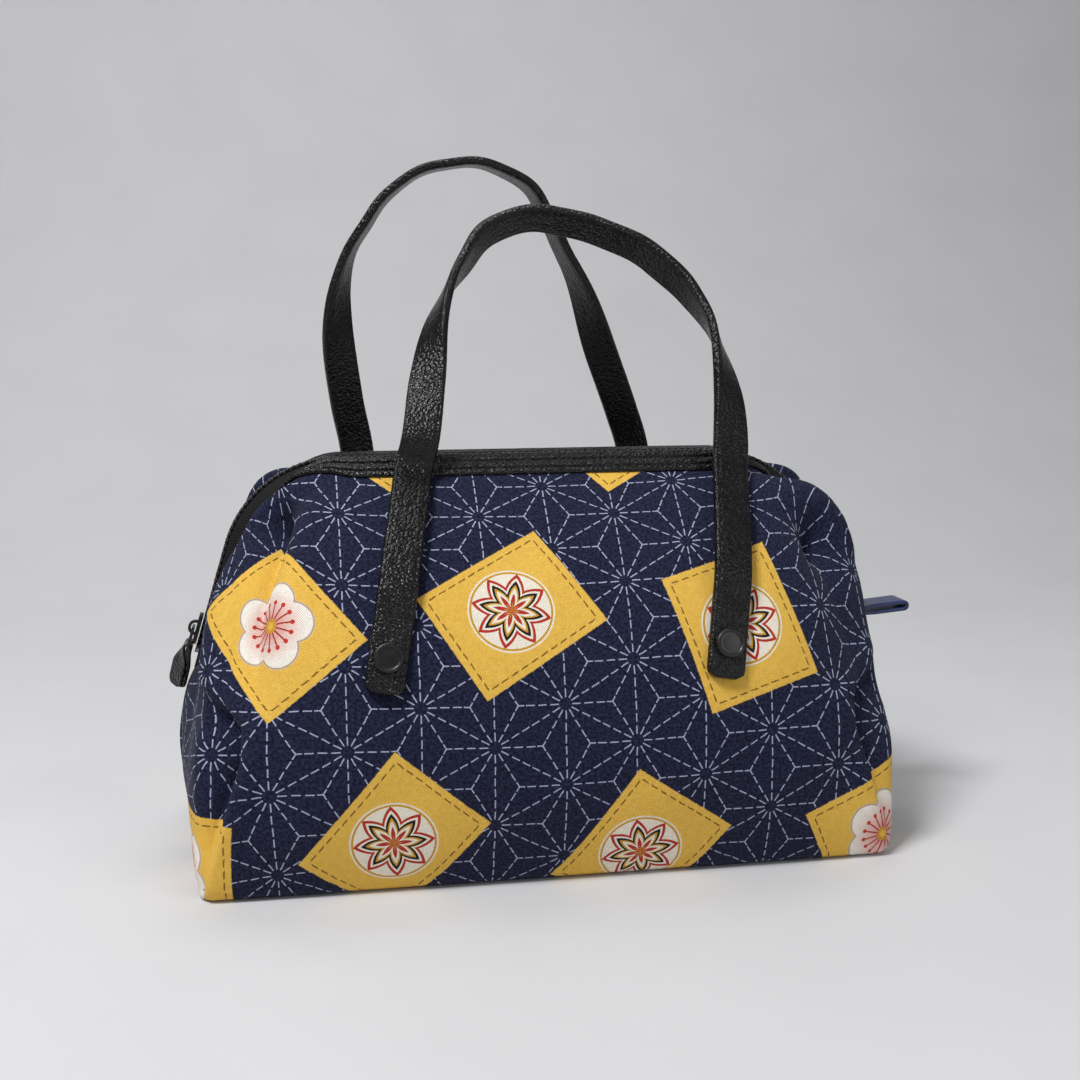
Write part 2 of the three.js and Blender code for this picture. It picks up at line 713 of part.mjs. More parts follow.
function slider() {
  const group = new THREE.Group();
  group.applyMatrix4(zipFrame(sliderAt));
  const top = toSolid(plate(sliderOutline(1), sliderPlate).translate(0, 0, sliderBottom));
  const bottomScale = 0.8;
  const under = -tapeDepth - tapeThickness - clearance - sliderPlate;
  const pull = new THREE.Group();
  pull.position.z = pullAxis;
  pull.add(
    mesh("pull_loop", pullLoopGeometry(), paintedMetal),
    mesh("pull_tab", pullTabGeometry(), leatherette),
  );
  group.add(
    mesh("slider_top_plate", toGeometry(top.add(toSolid(crownGeometry()))), paintedMetal),
    mesh("slider_bottom_plate", plate(sliderOutline(bottomScale), sliderPlate).translate(0, 0, under), paintedMetal),
    pull,
  );
  return group;
}

// A metal stop across the two rows of teeth, just past their ends.
function zipStop(name, distance) {
  const stop = mesh(name, new THREE.BoxGeometry(stopLength, 2 * cordOuter, chainHeight), plainMetal);
  stop.applyMatrix4(zipFrame(distance));
  stop.position.copy(onZip(distance, 0, chainTop - chainHeight / 2));
  return stop;
}

// The finger tab: a folded leatherette strip that stands out from the right end of the zip.
function fingerTab() {
  const half = fingerTabGap / 2 + fingerTabLayer;
  const droop = degToRad(fingerTabDroop);
  const foot = clearance - tapeDepth + half * Math.sin(droop);
  const loop = (halfWidth, low, high) => {
    const shape = new THREE.Shape();
    shape.moveTo(-halfWidth, low);
    shape.lineTo(halfWidth, low);
    shape.lineTo(halfWidth, high - halfWidth);
    shape.absarc(0, high - halfWidth, halfWidth, 0, Math.PI);
    shape.lineTo(-halfWidth, low);
    return shape;
  };
  const shape = loop(half, foot, foot + fingerTabLength);
  const sewn = 8;
  shape.holes.push(loop(fingerTabGap / 2, foot + sewn, foot + fingerTabLength - fingerTabLayer));
  const folded = plate(shape, fingerTabWidth, 8).rotateX(Math.PI / 2).translate(0, fingerTabWidth / 2, 0);
  folded.rotateY(droop);
  const tab = mesh("finger_tab", folded, navyLeatherette);
  tab.applyMatrix4(zipFrame(zipLength - fingerTabAt));
  return tab;
}

const bag = new THREE.Group();
const backHalf = bagHalf("back", backArch, [], backTwist);
backHalf.rotation.z = Math.PI;
const stopGap = clearance + stopLength / 2;
bag.add(
  bagHalf("front", frontArch, [0.25, 0.5, 0.75, 0.95], frontTwist),
  backHalf,
  base(),
  slider(),
  zipStop("left_zip_stop", chainStart - stopGap),
  zipStop("right_zip_stop", zipLength - chainEnd + stopGap),
  fingerTab(),
);

export default bag;
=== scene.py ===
import math

import bmesh
import bpy
import numpy as np
from mathutils import Matrix, Vector


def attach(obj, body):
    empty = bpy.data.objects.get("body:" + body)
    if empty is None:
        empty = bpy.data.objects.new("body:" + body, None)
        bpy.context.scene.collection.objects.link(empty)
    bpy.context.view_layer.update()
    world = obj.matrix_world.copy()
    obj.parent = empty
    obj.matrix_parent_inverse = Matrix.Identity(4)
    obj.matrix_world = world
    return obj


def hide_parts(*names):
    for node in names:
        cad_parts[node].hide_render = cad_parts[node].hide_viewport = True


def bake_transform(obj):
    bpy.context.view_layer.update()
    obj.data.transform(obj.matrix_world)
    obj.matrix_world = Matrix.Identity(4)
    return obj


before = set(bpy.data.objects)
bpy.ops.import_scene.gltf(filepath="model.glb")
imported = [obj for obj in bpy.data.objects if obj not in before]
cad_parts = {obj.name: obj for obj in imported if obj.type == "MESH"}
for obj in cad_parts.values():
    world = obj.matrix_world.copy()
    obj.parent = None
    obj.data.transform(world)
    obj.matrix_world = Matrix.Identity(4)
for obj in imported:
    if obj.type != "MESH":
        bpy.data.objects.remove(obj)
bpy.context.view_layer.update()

# The front and back panels: each is one piece of printed cotton that covers a long side of the bag and half
# of both ends. It is sewn to the base below and to the zip above, and what the bag holds fills it out.
mm = 0.001
base_length, base_depth, base_corner = 256 * mm, 124 * mm, 7 * mm
rim_height, zip_corner, zip_end_height = 148 * mm, 45 * mm, 62 * mm
zip_lean = math.radians(17)
zip_half_width, zip_ridge, zip_taper = 9 * mm, 4.5 * mm, 14 * mm
ridge_drop, ridge_fade = 2 * mm, 20 * mm
end_gap = 0.15 * mm
hem_roll = 4.5 * mm
cotton_thickness = 1.2 * mm
run_length = (rim_height - zip_corner - zip_end_height + zip_corner * math.sin(zip_lean)) / math.cos(zip_lean)
top_half = base_length / 2 + zip_ridge - run_length * math.sin(zip_lean) - zip_corner * math.cos(zip_lean)
bend_length = zip_corner * (math.pi / 2 - zip_lean)
zip_length = 2 * (top_half + bend_length + run_length)
# How the filled wall bulges at the ends and at the belly: out from the base's edge low down, and as a share
# of the way from the rim to that edge high up.
end_bulge, belly_bulge, end_lean, belly_lean = 8 * mm, 20 * mm, 0.85, 1.28
low_share, high_share, high_inward = 0.3, 0.7, 0.6
# How the cloth lies at the left and right corner of the zip, seen from its own side: how far the ear stands
# out and rolls up past the zip and where along it, how high the cloth's brim stands along the zip, where
# along the zip and how far up the dimple is, how deep its crease is, and how deep the end is tucked in
# behind the lower corner.
corner_forms = {
    "front": (
        (4 * mm, 3 * mm, 80 * mm, 4 * mm, 86 * mm, 0.935, 7 * mm, 10 * mm),
        (9 * mm, 13 * mm, 78 * mm, 0, 77 * mm, 0.865, 2 * mm, 5 * mm),
    ),
    "back": (
        (5 * mm, 17 * mm, 78 * mm, 0, 114 * mm, 0.9, 4 * mm, 4 * mm),
        (5 * mm, 10.5 * mm, 88 * mm, 0, 106 * mm, 0.89, 5 * mm, 6 * mm),
    ),
}
# Where the cloth swells: how far from the zip's end, how long, at which share of the height, and how tall.
ear_hump, brim_hump = (60 * mm, 20 * mm, 0.87, 0.1), (82 * mm, 10 * mm, 0.985, 0.012)
roll_hump = (12 * mm, 0.94, 0.045)
puff_height, puff_shift, puff_length, puff_above, puff_tall = 4 * mm, 2 * mm, 14 * mm, 0.04, 0.018
dimple_depth, dimple_length, dimple_tall, dimple_round = 19 * mm, 6 * mm, 0.04, 0.08
crease_half, crease_lean, crease_round = 5 * mm, 9 * mm, 0.05
bank_share, bank_at, bank_half = 0.4, 15 * mm, 9 * mm
ripple_height = 0.4 * mm
# The line of the tuck bends from the base's corner out along the panel and back to its corner. The cloth
# turns in sharply there, and the lining behind it softly.
tuck_heights = (0.04, 0.15, 0.27, 0.35, 0.41, 0.48, 0.54, 0.59, 0.65)
tuck_line = (-2 * mm, -4.5 * mm, -8 * mm, -11 * mm, -13.5 * mm, -13 * mm, -7 * mm, -1.5 * mm, 4 * mm)
cloth_turn, lining_turn = (-1.5 * mm, 2 * mm), (-10 * mm, -1 * mm)
tuck_fade, lip_share, lip_half = 15 * mm, 0.15, 5 * mm


def ease(value, low, high):
    """Goes smoothly from 0 at low to 1 at high."""
    share = np.clip((value - low) / (high - low), 0, 1)
    return share * share * (3 - 2 * share)


def mix(low, high, share):
    return low + (high - low) * share


def zip_point(distance, across, out):
    """Points at a distance along the zip from its left end, across it to the back, and out of the bag."""
    from_middle = distance - zip_length / 2
    reach = np.abs(from_middle)
    bend = np.clip((reach - top_half) / zip_corner, 0, bend_length / zip_corner)
    down = np.maximum(reach - top_half - bend_length, 0)
    x = np.minimum(reach, top_half) + (zip_corner + out) * np.sin(bend) + down * np.cos(bend)
    z = rim_height - zip_corner + (zip_corner + out) * np.cos(bend) - down * np.sin(bend)
    return np.stack([np.sign(from_middle) * x, across + 0 * x, z], axis=-1)


def zip_rim(distance):
    """How far the cloth's rim lies beside the zip's line and below it. Down the ends the zip is a ridge."""
    from_end = np.minimum(distance, zip_length - distance)
    beside = mix(end_gap, zip_half_width, ease(from_end, 0, zip_taper))
    ridge = ease(from_end, 0, 2 * zip_taper)
    ridge *= 1 - ease(from_end, run_length + ridge_fade, run_length + bend_length)
    return beside, (zip_ridge + ridge_drop) * ridge


def base_edge(u):
    """The front half of the base's edge, from the middle of the left end, and the way that it faces."""
    straight = base_length / 2 - base_corner
    quarter = base_corner * math.pi / 2
    half_edge = straight + quarter + base_depth / 2 - base_corner - end_gap
    along = (2 * u - 1) * half_edge
    reach = np.abs(along)
    turn = np.clip((reach - straight) / base_corner, 0, math.pi / 2)
    x = np.sign(along) * (np.minimum(reach, straight) + base_corner * np.sin(turn))
    y = base_corner * (1 - np.cos(turn)) - base_depth / 2 + np.maximum(reach - straight - quarter, 0)
    facing_out = np.stack([np.sign(along) * np.sin(turn), -np.cos(turn), 0 * x], axis=-1)
    return np.stack([x, y, 0 * x], axis=-1), facing_out, along


def panel_curve(u, v):
    """The smooth form of the filled panel: u from the left end seam to the right one, v from base to rim."""
    edge, out, _ = base_edge(u)
    beside, ridge = zip_rim(u * zip_length)
    rim = zip_point(u * zip_length, -beside, -ridge)
    corner = base_depth / 2 / (2 * np.max(np.abs(base_edge(np.array([0.0]))[2])))
    belly = 1 - np.abs(2 * np.clip((u - corner) / (1 - 2 * corner), 0, 1) - 1) ** 4
    low = edge + out * mix(end_bulge, belly_bulge, belly)[..., None]
    low[..., 2] = low_share * rim[..., 2]
    high = np.stack([
        mix(rim[..., 0], edge[..., 0], high_inward) + out[..., 0] * end_bulge,
        mix(rim[..., 1], edge[..., 1], mix(end_lean, belly_lean, belly)),
        high_share * rim[..., 2],
    ], axis=-1)
    v = v[..., None]
    return edge * (1 - v) ** 3 + low * 3 * v * (1 - v) ** 2 + high * 3 * v ** 2 * (1 - v) + rim * v ** 3


def facing(surface, u, v, step_along=0.004, step_up=0.01):
    """The direction in which a surface faces, out of the bag."""
    right = surface(np.minimum(u + step_along, 1), v) - surface(np.maximum(u - step_along, 0), v)
    up = surface(u, np.minimum(v + step_up, 1)) - surface(u, np.maximum(v - step_up, 0))
    out = np.cross(right, up)
    return out / np.linalg.norm(out, axis=-1, keepdims=True)


def panel_face(u, v, half, eared=1):
    """The panel's outer face: drawn in to a dimple below each corner of the zip, standing out as an ear
    beside it, with a crease under each dimple, slack ripples, ends tucked in behind the lower corners, and a
    lower edge that turns under to its seam. Without its ears it is the form of the lining."""
    from_end = np.minimum(u, 1 - u) * zip_length
    smooth = panel_curve(u, v)
    x, z = smooth[..., 0], smooth[..., 2]

    def hump(along, length, height, tall):
        return np.exp(-(((from_end - along) / length) ** 2 + ((v - height) / tall) ** 2) / 2)

    left, right = corner_forms[half]
    stands, rolls, roll_along, brims, dimple_along, dimple_up, crease_depth, tuck_depth = (
        np.where(u < 0.5, one, other) for one, other in zip(left, right)
    )
    free = eared * ease(1 - v, 0, 0.06)
    ear = stands * free * hump(*ear_hump)
    roll_up = rolls * free * hump(roll_along, *roll_hump)
    roll_up += brims * eared * ease(1 - v, 0, 0.015) * hump(*brim_hump)
    puff = puff_height * eared * ease(1 - v, 0.008, 0.04)
    puff *= hump(dimple_along - puff_shift, puff_length, dimple_up + puff_above, puff_tall)
    drop = dimple_up - v
    pit = ((from_end - dimple_along) / dimple_length) ** 2 + (drop / dimple_tall) ** 2
    dimple = dimple_depth * np.exp(-np.sqrt(pit + dimple_round)) * ease(1 - v, 0, 0.05)
    beside = from_end - dimple_along + crease_lean * ease(drop, 0, 0.25)
    fold = np.exp(-np.sqrt((beside / crease_half) ** 2 + crease_round))
    fold -= bank_share * np.exp(-((beside - bank_at) / bank_half) ** 2)
    crease = crease_depth * fold * ease(drop, -0.02, 0.08) * (1 - ease(drop, 0.15, 0.5))
    ripple = np.sin(x / (12 * mm) + 2 * np.sin(z / (21 * mm)))
    ripple *= np.sin(z / (15 * mm) + 1.3 * np.sin(x / (27 * mm)))
    ripple += 0.5 * np.sin(x / (6.5 * mm) + 2.4 * np.sin(z / (12 * mm)) + 1)
    slack = ripple_height * ripple * ease(v, 0.02, 0.15) * ease(1 - v, 0.08, 0.25)
    past_corner = np.abs(base_edge(u)[2]) - base_length / 2 + base_corner * (1 - math.pi / 4)
    behind = past_corner - np.interp(v, tuck_heights, tuck_line)
    turns_in = ease(behind, *(mix(soft, sharp, eared) for soft, sharp in zip(lining_turn, cloth_turn)))
    upper = 1 - ease(v, 0.5, 0.68)
    tuck = tuck_depth * turns_in * np.exp(-np.maximum(behind, 0) / tuck_fade)
    tuck *= mix(0.3, 1, ease(v, 0.03, 0.3)) * ease(v, 0.015, 0.04) * upper
    lip = lip_share * eared * tuck_depth * np.exp(-((behind + lip_half) / lip_half) ** 2)
    lip *= ease(v, 0.1, 0.3) * upper
    lift = ear + puff - dimple - crease + slack - tuck + lip
    face = smooth + facing(panel_curve, u, v) * lift[..., None]
    face += (zip_point(u * zip_length, 0, 1) - zip_point(u * zip_length, 0, 0)) * roll_up[..., None]
    roll = np.clip(face[..., 2] / hem_roll, 0, 1) * math.pi / 2
    face -= base_edge(u)[1] * (hem_roll * (1 - np.sin(roll)))[..., None]
    face[..., 2] = np.where(face[..., 2] < hem_roll, hem_roll * (1 - np.cos(roll)), face[..., 2])
    return face


def off_panel(u, v, distance, half, eared=1):
    """Points off the panel's face, kept on their own side of the end seams and above the table."""
    surface = lambda a, b: panel_face(a, b, half, eared)
    point = surface(u, v) + facing(surface, u, v) * np.asarray(distance)[..., None]
    point[..., 1] = np.minimum(point[..., 1], -end_gap)
    point[..., 2] = np.maximum(point[..., 2], 0)
    return point


def turned(point, half):
    """The back half of the bag is the front half turned round."""
    return point * (-1, -1, 1) if half == "back" else point


def lay_flat(formed, flat, rounds=3000, gain=0.22):
    """Eases a flat net of points until its edges and diagonals are as long as those of the formed cloth."""
    rows, columns = formed.shape[:2]
    for _ in range(rounds):
        moved = np.zeros_like(flat)
        for down, over in ((0, 1), (1, 0), (1, 1), (1, -1)):
            one = (slice(0, rows - down), slice(max(0, -over), columns - max(0, over)))
            two = (slice(down, rows), slice(max(0, over), columns + min(0, over)))
            length = np.linalg.norm(formed[two] - formed[one], axis=-1, keepdims=True)
            gap = flat[two] - flat[one]
            pull = gap * (1 - length / np.linalg.norm(gap, axis=-1, keepdims=True)) / 2
            moved[one] += pull
            moved[two] -= pull
        flat = flat + gain * moved
    return flat


def between(net, u, v):
    """What a net of values gives at shares u across it and v up it."""
    rows, columns = net.shape[:2]
    i = np.minimum((u * (columns - 1)).astype(int), columns - 2)
    j = np.minimum((v * (rows - 1)).astype(int), rows - 2)
    s, t = (u * (columns - 1) - i)[:, None], (v * (rows - 1) - j)[:, None]
    return mix(mix(net[j, i], net[j, i + 1], s), mix(net[j + 1, i], net[j + 1, i + 1], s), t)


def bent_sheet(columns, rows, place):
    """A flat grid moved to its place on the bag. place gives each point and where it lay on the sheet."""
    sheet = bmesh.new()
    bmesh.ops.create_grid(sheet, x_segments=columns, y_segments=rows, size=0.5)
    shares = np.array([vert.co[:2] for vert in sheet.verts]) + 0.5
    points, laid = place(shares[:, 0], shares[:, 1])
    flat_map = sheet.loops.layers.uv.new("flat")
    for vert, point, spot in zip(sheet.verts, points, laid):
        vert.co = point
        for loop in vert.link_loops:
            loop[flat_map].uv = spot
    return sheet


def mesh_object(name, shape, material):
    """Makes an object of a finished bmesh, in its material."""
    mesh = bpy.data.meshes.new(name)
    shape.to_mesh(mesh)
    shape.free()
    mesh.materials.append(material)
    mesh.shade_smooth()
    thing = bpy.data.objects.new(name, mesh)
    bpy.context.scene.collection.objects.link(thing)
    return thing


def make(name, shape, material, body="bag", stands_for=()):
    """Makes a piece of the bag, which rides on a body of the frame and stands for solids of the frame."""
    piece = mesh_object(name, shape, material)
    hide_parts(*stands_for)
    if body:
        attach(piece, body)
    return piece


def thicken(piece, thickness, offset=-1):
    """Gives a sheet its thickness, behind its face."""
    wall = piece.modifiers.new("thickness", "SOLIDIFY")
    wall.thickness, wall.offset = thickness, offset


def sew(
    node, kind, grid, place, material, slot, thickness, flat, held="stretched", offset=-1, body="bag", **cut
):
    """Makes a sheet of so many faces each way, bent to its place, that stands for a solid of the frame."""
    piece = make(f"{node}_{kind}", bent_sheet(*grid, place), material, body, [node])
    thicken(piece, thickness, offset)


def linear(colour):
    """An sRGB hex colour as the linear values that a shader takes."""
    channels = [int(colour[place:place + 2], 16) / 255 for place in (1, 3, 5)]
    return [c / 12.92 if c <= 0.04045 else ((c + 0.055) / 1.055) ** 2.4 for c in channels] + [1]


def add(material, kind, inputs=(), **settings):
    """Adds a node of a kind, and of its operation if it has one, with its settings. Each input, by order or
    by name, is linked to a node or set to a value or a hex colour."""
    tree = material.node_tree
    kind, _, operation = kind.partition(".")
    node = tree.nodes.new("ShaderNode" + kind)
    if operation:
        node.operation = operation
    for setting, value in settings.items():
        setattr(node, setting, value)
    for socket, value in inputs.items() if isinstance(inputs, dict) else enumerate(inputs):
        value = value.outputs[0] if isinstance(value, bpy.types.Node) else value
        if isinstance(value, bpy.types.NodeSocket):
            tree.links.new(value, node.inputs[socket])
        else:
            node.inputs[socket].default_value = linear(value) if isinstance(value, str) else value
    return node


def finish(name, where="UVMap", **settings):
    """A new material, and the node of the coordinates that its patterns follow."""
    material = bpy.data.materials.new(name)
    material.use_nodes = True
    material.node_tree.nodes.clear()
    return material, add(material, where, **settings)


def mottle(material, where, size, detail, dark, light):
    """A noise of a given size, and the tint between two colours that it gives."""
    noise = add(material, "TexNoise", {"Vector": where, "Scale": 1 / size, "Detail": detail})
    return noise, add(material, "MixRGB", (noise, dark, light))


# Printed plain-weave cotton: a matt navy cloth of light and dark yarns with pale running-stitch lines of
# hemp-leaf stars, and yellow patches sewn down round their edges, each with a plum blossom or a thread
# ball on it.
cotton, cloth_map = finish("printed plain-weave cotton", uv_map="flat")
star_repeat, star_blank, star_knot = 29 * mm, 2.4 * mm, 0.07
stitch_half, stitch_period, stitch_share = 0.2 * mm, 4.3 * mm, 0.7
hand_size, hand_shift = 7 * mm, (0.5 * mm, 0.5 * mm, 0)
hand = add(cotton, "TexNoise", {"Vector": cloth_map, "Scale": 1 / hand_size, "Detail": 1})
drawn = add(cotton, "VectorMath.MULTIPLY_ADD", (hand.outputs["Color"], hand_shift, cloth_map))
blank, period = star_blank / star_repeat, stitch_period / star_repeat
line_outer, line_inner = 1.5 * stitch_half / star_repeat, 0.6 * stitch_half / star_repeat
lines = 0
for turn in range(3):
    lattice = add(cotton, "Mapping", {
        "Vector": drawn, "Rotation": (0, 0, turn * math.pi / 3), "Scale": [1 / star_repeat] * 3,
    })
    parts = add(cotton, "SeparateXYZ", (lattice,))
    across, along = parts.outputs["X"], parts.outputs["Y"]
    for line, spacing, way, repeat, reach in (
        (across, 3 ** 0.5 / 2, along, 1, 2), (along, 0.5, across, 3 ** 0.5, 3 ** -0.5),
    ):
        beside = add(cotton, "Math.PINGPONG", (line, spacing / 2))
        inked = add(cotton, "MapRange", (beside, line_outer, line_inner))
        odd = line
        for operation, value in (("DIVIDE", spacing), ("ROUND", 0), ("PINGPONG", 1)):
            odd = add(cotton, "Math." + operation, (odd, value))
        shifted = add(cotton, "Math.MULTIPLY_ADD", (odd, repeat / 2, way))
        from_star = add(cotton, "Math.PINGPONG", (shifted, repeat / 2))
        step = add(cotton, "Math.MULTIPLY_ADD", (from_star, 1 / period, -blank / period))
        part = add(cotton, "Math.FRACT", (step,))
        dash = add(cotton, "Math.LESS_THAN", (part, stitch_share))
        knot = add(cotton, "Math.GREATER_THAN", (from_star, reach - star_knot))
        drawn_here = add(cotton, "Math.MAXIMUM", (dash, knot))
        past = add(cotton, "Math.GREATER_THAN", (from_star, blank))
        within = add(cotton, "Math.LESS_THAN", (from_star, reach))
        for mask in (drawn_here, past, within):
            inked = add(cotton, "Math.MULTIPLY", (inked, mask))
        lines = add(cotton, "Math.MAXIMUM", (lines, inked))

# Where the patches lie: one in each brick-wise cell, moved and turned by chance, with a frayed edge.
patch_width, patch_height, patch_stitch = 43 * mm, 52 * mm, 2.6 * mm
cell, cell_start = (88 * mm, 82 * mm, 1), (0.31, 0.27, 0)
wander, wander_middle = (16 * mm, 12 * mm, 0), (8 * mm, 6 * mm, 0)
yarn_size, fray, edge_soft = 1.1 * mm, (0.6 * mm, 0.6 * mm, 0), 0.2 * mm
sewing_half, sewing_period, sewing_share = 0.3 * mm, 4.2 * mm, 0.68
cells = add(cotton, "Mapping", {
    "Vector": cloth_map, "Location": cell_start, "Scale": (1 / cell[0], 1 / cell[1], 1),
})
parts = add(cotton, "SeparateXYZ", (cells,))
course = add(cotton, "Math.FLOOR", (parts.outputs["Y"],))
odd = add(cotton, "Math.PINGPONG", (course, 1))
slid = add(cotton, "Math.MULTIPLY_ADD", (odd, 0.5, parts.outputs["X"]))
bricks = add(cotton, "CombineXYZ", (slid, parts.outputs["Y"]))
chosen = add(cotton, "VectorMath.FLOOR", (bricks,))
chance = add(cotton, "TexWhiteNoise", (chosen,))
tints = add(cotton, "SeparateColor", (chance.outputs["Color"],))
spot = add(cotton, "VectorMath.FRACTION", (bricks,))
spot = add(cotton, "VectorMath.MULTIPLY_ADD", (spot, cell, (-cell[0] / 2, -cell[1] / 2, 0)))
moved = add(cotton, "VectorMath.MULTIPLY_ADD", (chance.outputs["Color"], wander, spot))
turn = add(cotton, "Math.MULTIPLY", (chance.outputs["Value"], 2 * math.pi))
patch = add(cotton, "VectorRotate", {
    "Vector": moved, "Center": wander_middle, "Angle": turn,
}, rotation_type="Z_AXIS")
patch = add(cotton, "VectorMath.SUBTRACT", (patch, wander_middle))
yarn = add(cotton, "TexNoise", {"Vector": cloth_map, "Scale": 1 / yarn_size, "Detail": 2})
frayed = add(cotton, "VectorMath.MULTIPLY_ADD", (yarn.outputs["Color"], fray, patch))
frayed = add(cotton, "VectorMath.ABSOLUTE", (frayed,))
beyond = add(cotton, "VectorMath.SUBTRACT", (frayed, (patch_width / 2, patch_height / 2, 0)))
parts = add(cotton, "SeparateXYZ", (beyond,))
past_edge = add(cotton, "Math.MAXIMUM", (parts.outputs["X"], parts.outputs["Y"]))
on_patch = add(cotton, "MapRange", (past_edge, edge_soft, -edge_soft))
inset = add(cotton, "Math.COMPARE", (past_edge, -patch_stitch, sewing_half))
parts = add(cotton, "SeparateXYZ", (patch,))
x_here, y_here = parts.outputs["X"], parts.outputs["Y"]
around = x_here
for operation, value in (
    ("ADD", y_here), ("DIVIDE", sewing_period), ("FRACT", 0), ("LESS_THAN", sewing_share),
):
    around = add(cotton, "Math." + operation, (around, value))
sewn = add(cotton, "Math.MULTIPLY", (inset, around))

# The plum blossom: five round petals, with stamens about a gold middle.
petal_out, petal_radius, petal_full = 8.6 * mm, 7.5 * mm, 7.2 * mm
petal_line_at, petal_line_half = 7 * mm, 0.35 * mm
stamen_length, stamen_half, tip_out, tip_radius = 8 * mm, 0.28 * mm, 8.4 * mm, 0.8 * mm
heart_radius, blush_from, blush_to = 2.6 * mm, 2 * mm, 13 * mm
from_middle = add(cotton, "VectorMath.LENGTH", (patch,)).outputs["Value"]
angle = add(cotton, "Math.ARCTAN2", (y_here, x_here))
folded = add(cotton, "Math.PINGPONG", (angle, math.pi / 5))
cosine = add(cotton, "Math.COSINE", (folded,))
sine = add(cotton, "Math.SINE", (folded,))
petal_x = add(cotton, "Math.MULTIPLY", (from_middle, cosine))
petal_x = add(cotton, "Math.SUBTRACT", (petal_x, petal_out))
petal_y = add(cotton, "Math.MULTIPLY", (from_middle, sine))
petal = add(cotton, "CombineXYZ", (petal_x, petal_y))
petal = add(cotton, "VectorMath.LENGTH", (petal,)).outputs["Value"]
on_petal = add(cotton, "MapRange", (petal, petal_radius, petal_full))
petal_line = add(cotton, "Math.COMPARE", (petal, petal_line_at, petal_line_half))
spoke = add(cotton, "Math.PINGPONG", (angle, math.pi / 15))
spoke = add(cotton, "Math.MULTIPLY", (spoke, from_middle))
thin, inner, heart = (add(cotton, "Math.LESS_THAN", pair) for pair in (
    (spoke, stamen_half), (from_middle, stamen_length), (from_middle, heart_radius),
))
stamen = add(cotton, "Math.MULTIPLY", (thin, inner))
tip_along = add(cotton, "Math.SUBTRACT", (from_middle, tip_out))
tip = add(cotton, "CombineXYZ", (tip_along, spoke))
tip = add(cotton, "VectorMath.LENGTH", (tip,)).outputs["Value"]
tip = add(cotton, "Math.LESS_THAN", (tip, tip_radius))
blush = add(cotton, "MapRange", (from_middle, blush_from, blush_to))
blossom = add(cotton, "MixRGB", (blush, "#d98f86", "#efe9de"))
for mask, colour in ((petal_line, "#b9a394"), (stamen, "#a5392c"), (tip, "#c03a2c"), (heart, "#c9962f")):
    blossom = add(cotton, "MixRGB", (mask, blossom, colour))

# The thread ball: eight-pointed stars of coloured thread, one inside another, on a pale ball with a gold rim.
ball_radius, rim_at, rim_half, star_depth = 15.5 * mm, 0.93, 0.025, 0.9
reach = add(cotton, "Math.DIVIDE", (from_middle, ball_radius))
on_ball = add(cotton, "MapRange", (reach, 1.01, 0.98))
point = add(cotton, "Math.PINGPONG", (angle, math.pi / 8))
star = add(cotton, "Math.MULTIPLY_ADD", (point, star_depth, reach))
rim = add(cotton, "Math.COMPARE", (reach, rim_at, rim_half))
threads = add(cotton, "MixRGB", (rim, "#ece4d3", "#c9962f"))
for size, colour in (
    (0.92, "#b3342b"), (0.82, "#ece4d3"), (0.74, "#1b1b22"), (0.64, "#c9962f"), (0.56, "#ece4d3"),
    (0.42, "#b3342b"), (0.2, "#c9962f"),
):
    inside = add(cotton, "Math.LESS_THAN", (star, size))
    threads = add(cotton, "MixRGB", (inside, threads, colour))
kind = add(cotton, "Math.GREATER_THAN", (tints.outputs["Blue"], 0.5))
motif = add(cotton, "MixRGB", (kind, blossom, threads))
on_motif = add(cotton, "MixRGB", (kind, on_petal, on_ball))

# Real threads lie 0.35 mm apart; they are drawn at 0.9 mm, so that the weave shows.
threads_apart, slub_size, dye_size = 0.9 * mm, 1.6 * mm, 3 * mm
parts = add(cotton, "SeparateXYZ", (cloth_map,))
ribs = []
for way in ("X", "Y"):
    wave = add(cotton, "Math.MULTIPLY", (parts.outputs[way], 2 * math.pi / threads_apart))
    ribs.append(add(cotton, "Math.SINE", (wave,)))
weave = add(cotton, "Math.MULTIPLY", ribs)
slub = add(cotton, "TexNoise", {"Vector": cloth_map, "Scale": 1 / slub_size, "Detail": 3})
height = add(cotton, "Math.MULTIPLY_ADD", (slub, 1.2, weave))
tone, dyed = mottle(cotton, cloth_map, dye_size, 4, "#0c0e1e", "#14172d")
pale_yarn = add(cotton, "MapRange", (yarn, 0.38, 0.72))
navy = add(cotton, "MixRGB", (pale_yarn, dyed, "#2b2f4e"))
ink = add(cotton, "MixRGB", (lines, navy, "#a9aec6"))
ochre = add(cotton, "MixRGB", (tone, "#dcac44", "#ecc25a"))
patch_colour = add(cotton, "MixRGB", (on_motif, ochre, motif))
patch_colour = add(cotton, "MixRGB", (sewn, patch_colour, "#8a6626"))
colour = add(cotton, "MixRGB", (on_patch, ink, patch_colour))
# Painted shade and light: the cloth's colour is darkened in the weave's hollows and lightened on its crests,
# following the height of the threads.
painted_weave_shade = add(cotton, "MapRange", (height, -0.6, 1.8, 0.72, 1.22))
colour = add(cotton, "VectorMath.MULTIPLY", (colour, painted_weave_shade))
relief = add(cotton, "Bump", {"Height": height, "Strength": 0.6, "Distance": 0.15 * mm})
surface = add(cotton, "BsdfPrincipled", {
    "Base Color": colour, "Roughness": 0.9, "Specular IOR Level": 0.15, "Sheen Weight": 0.04,
    "Sheen Roughness": 0.5, "Normal": relief,
})
add(cotton, "OutputMaterial", (surface,))

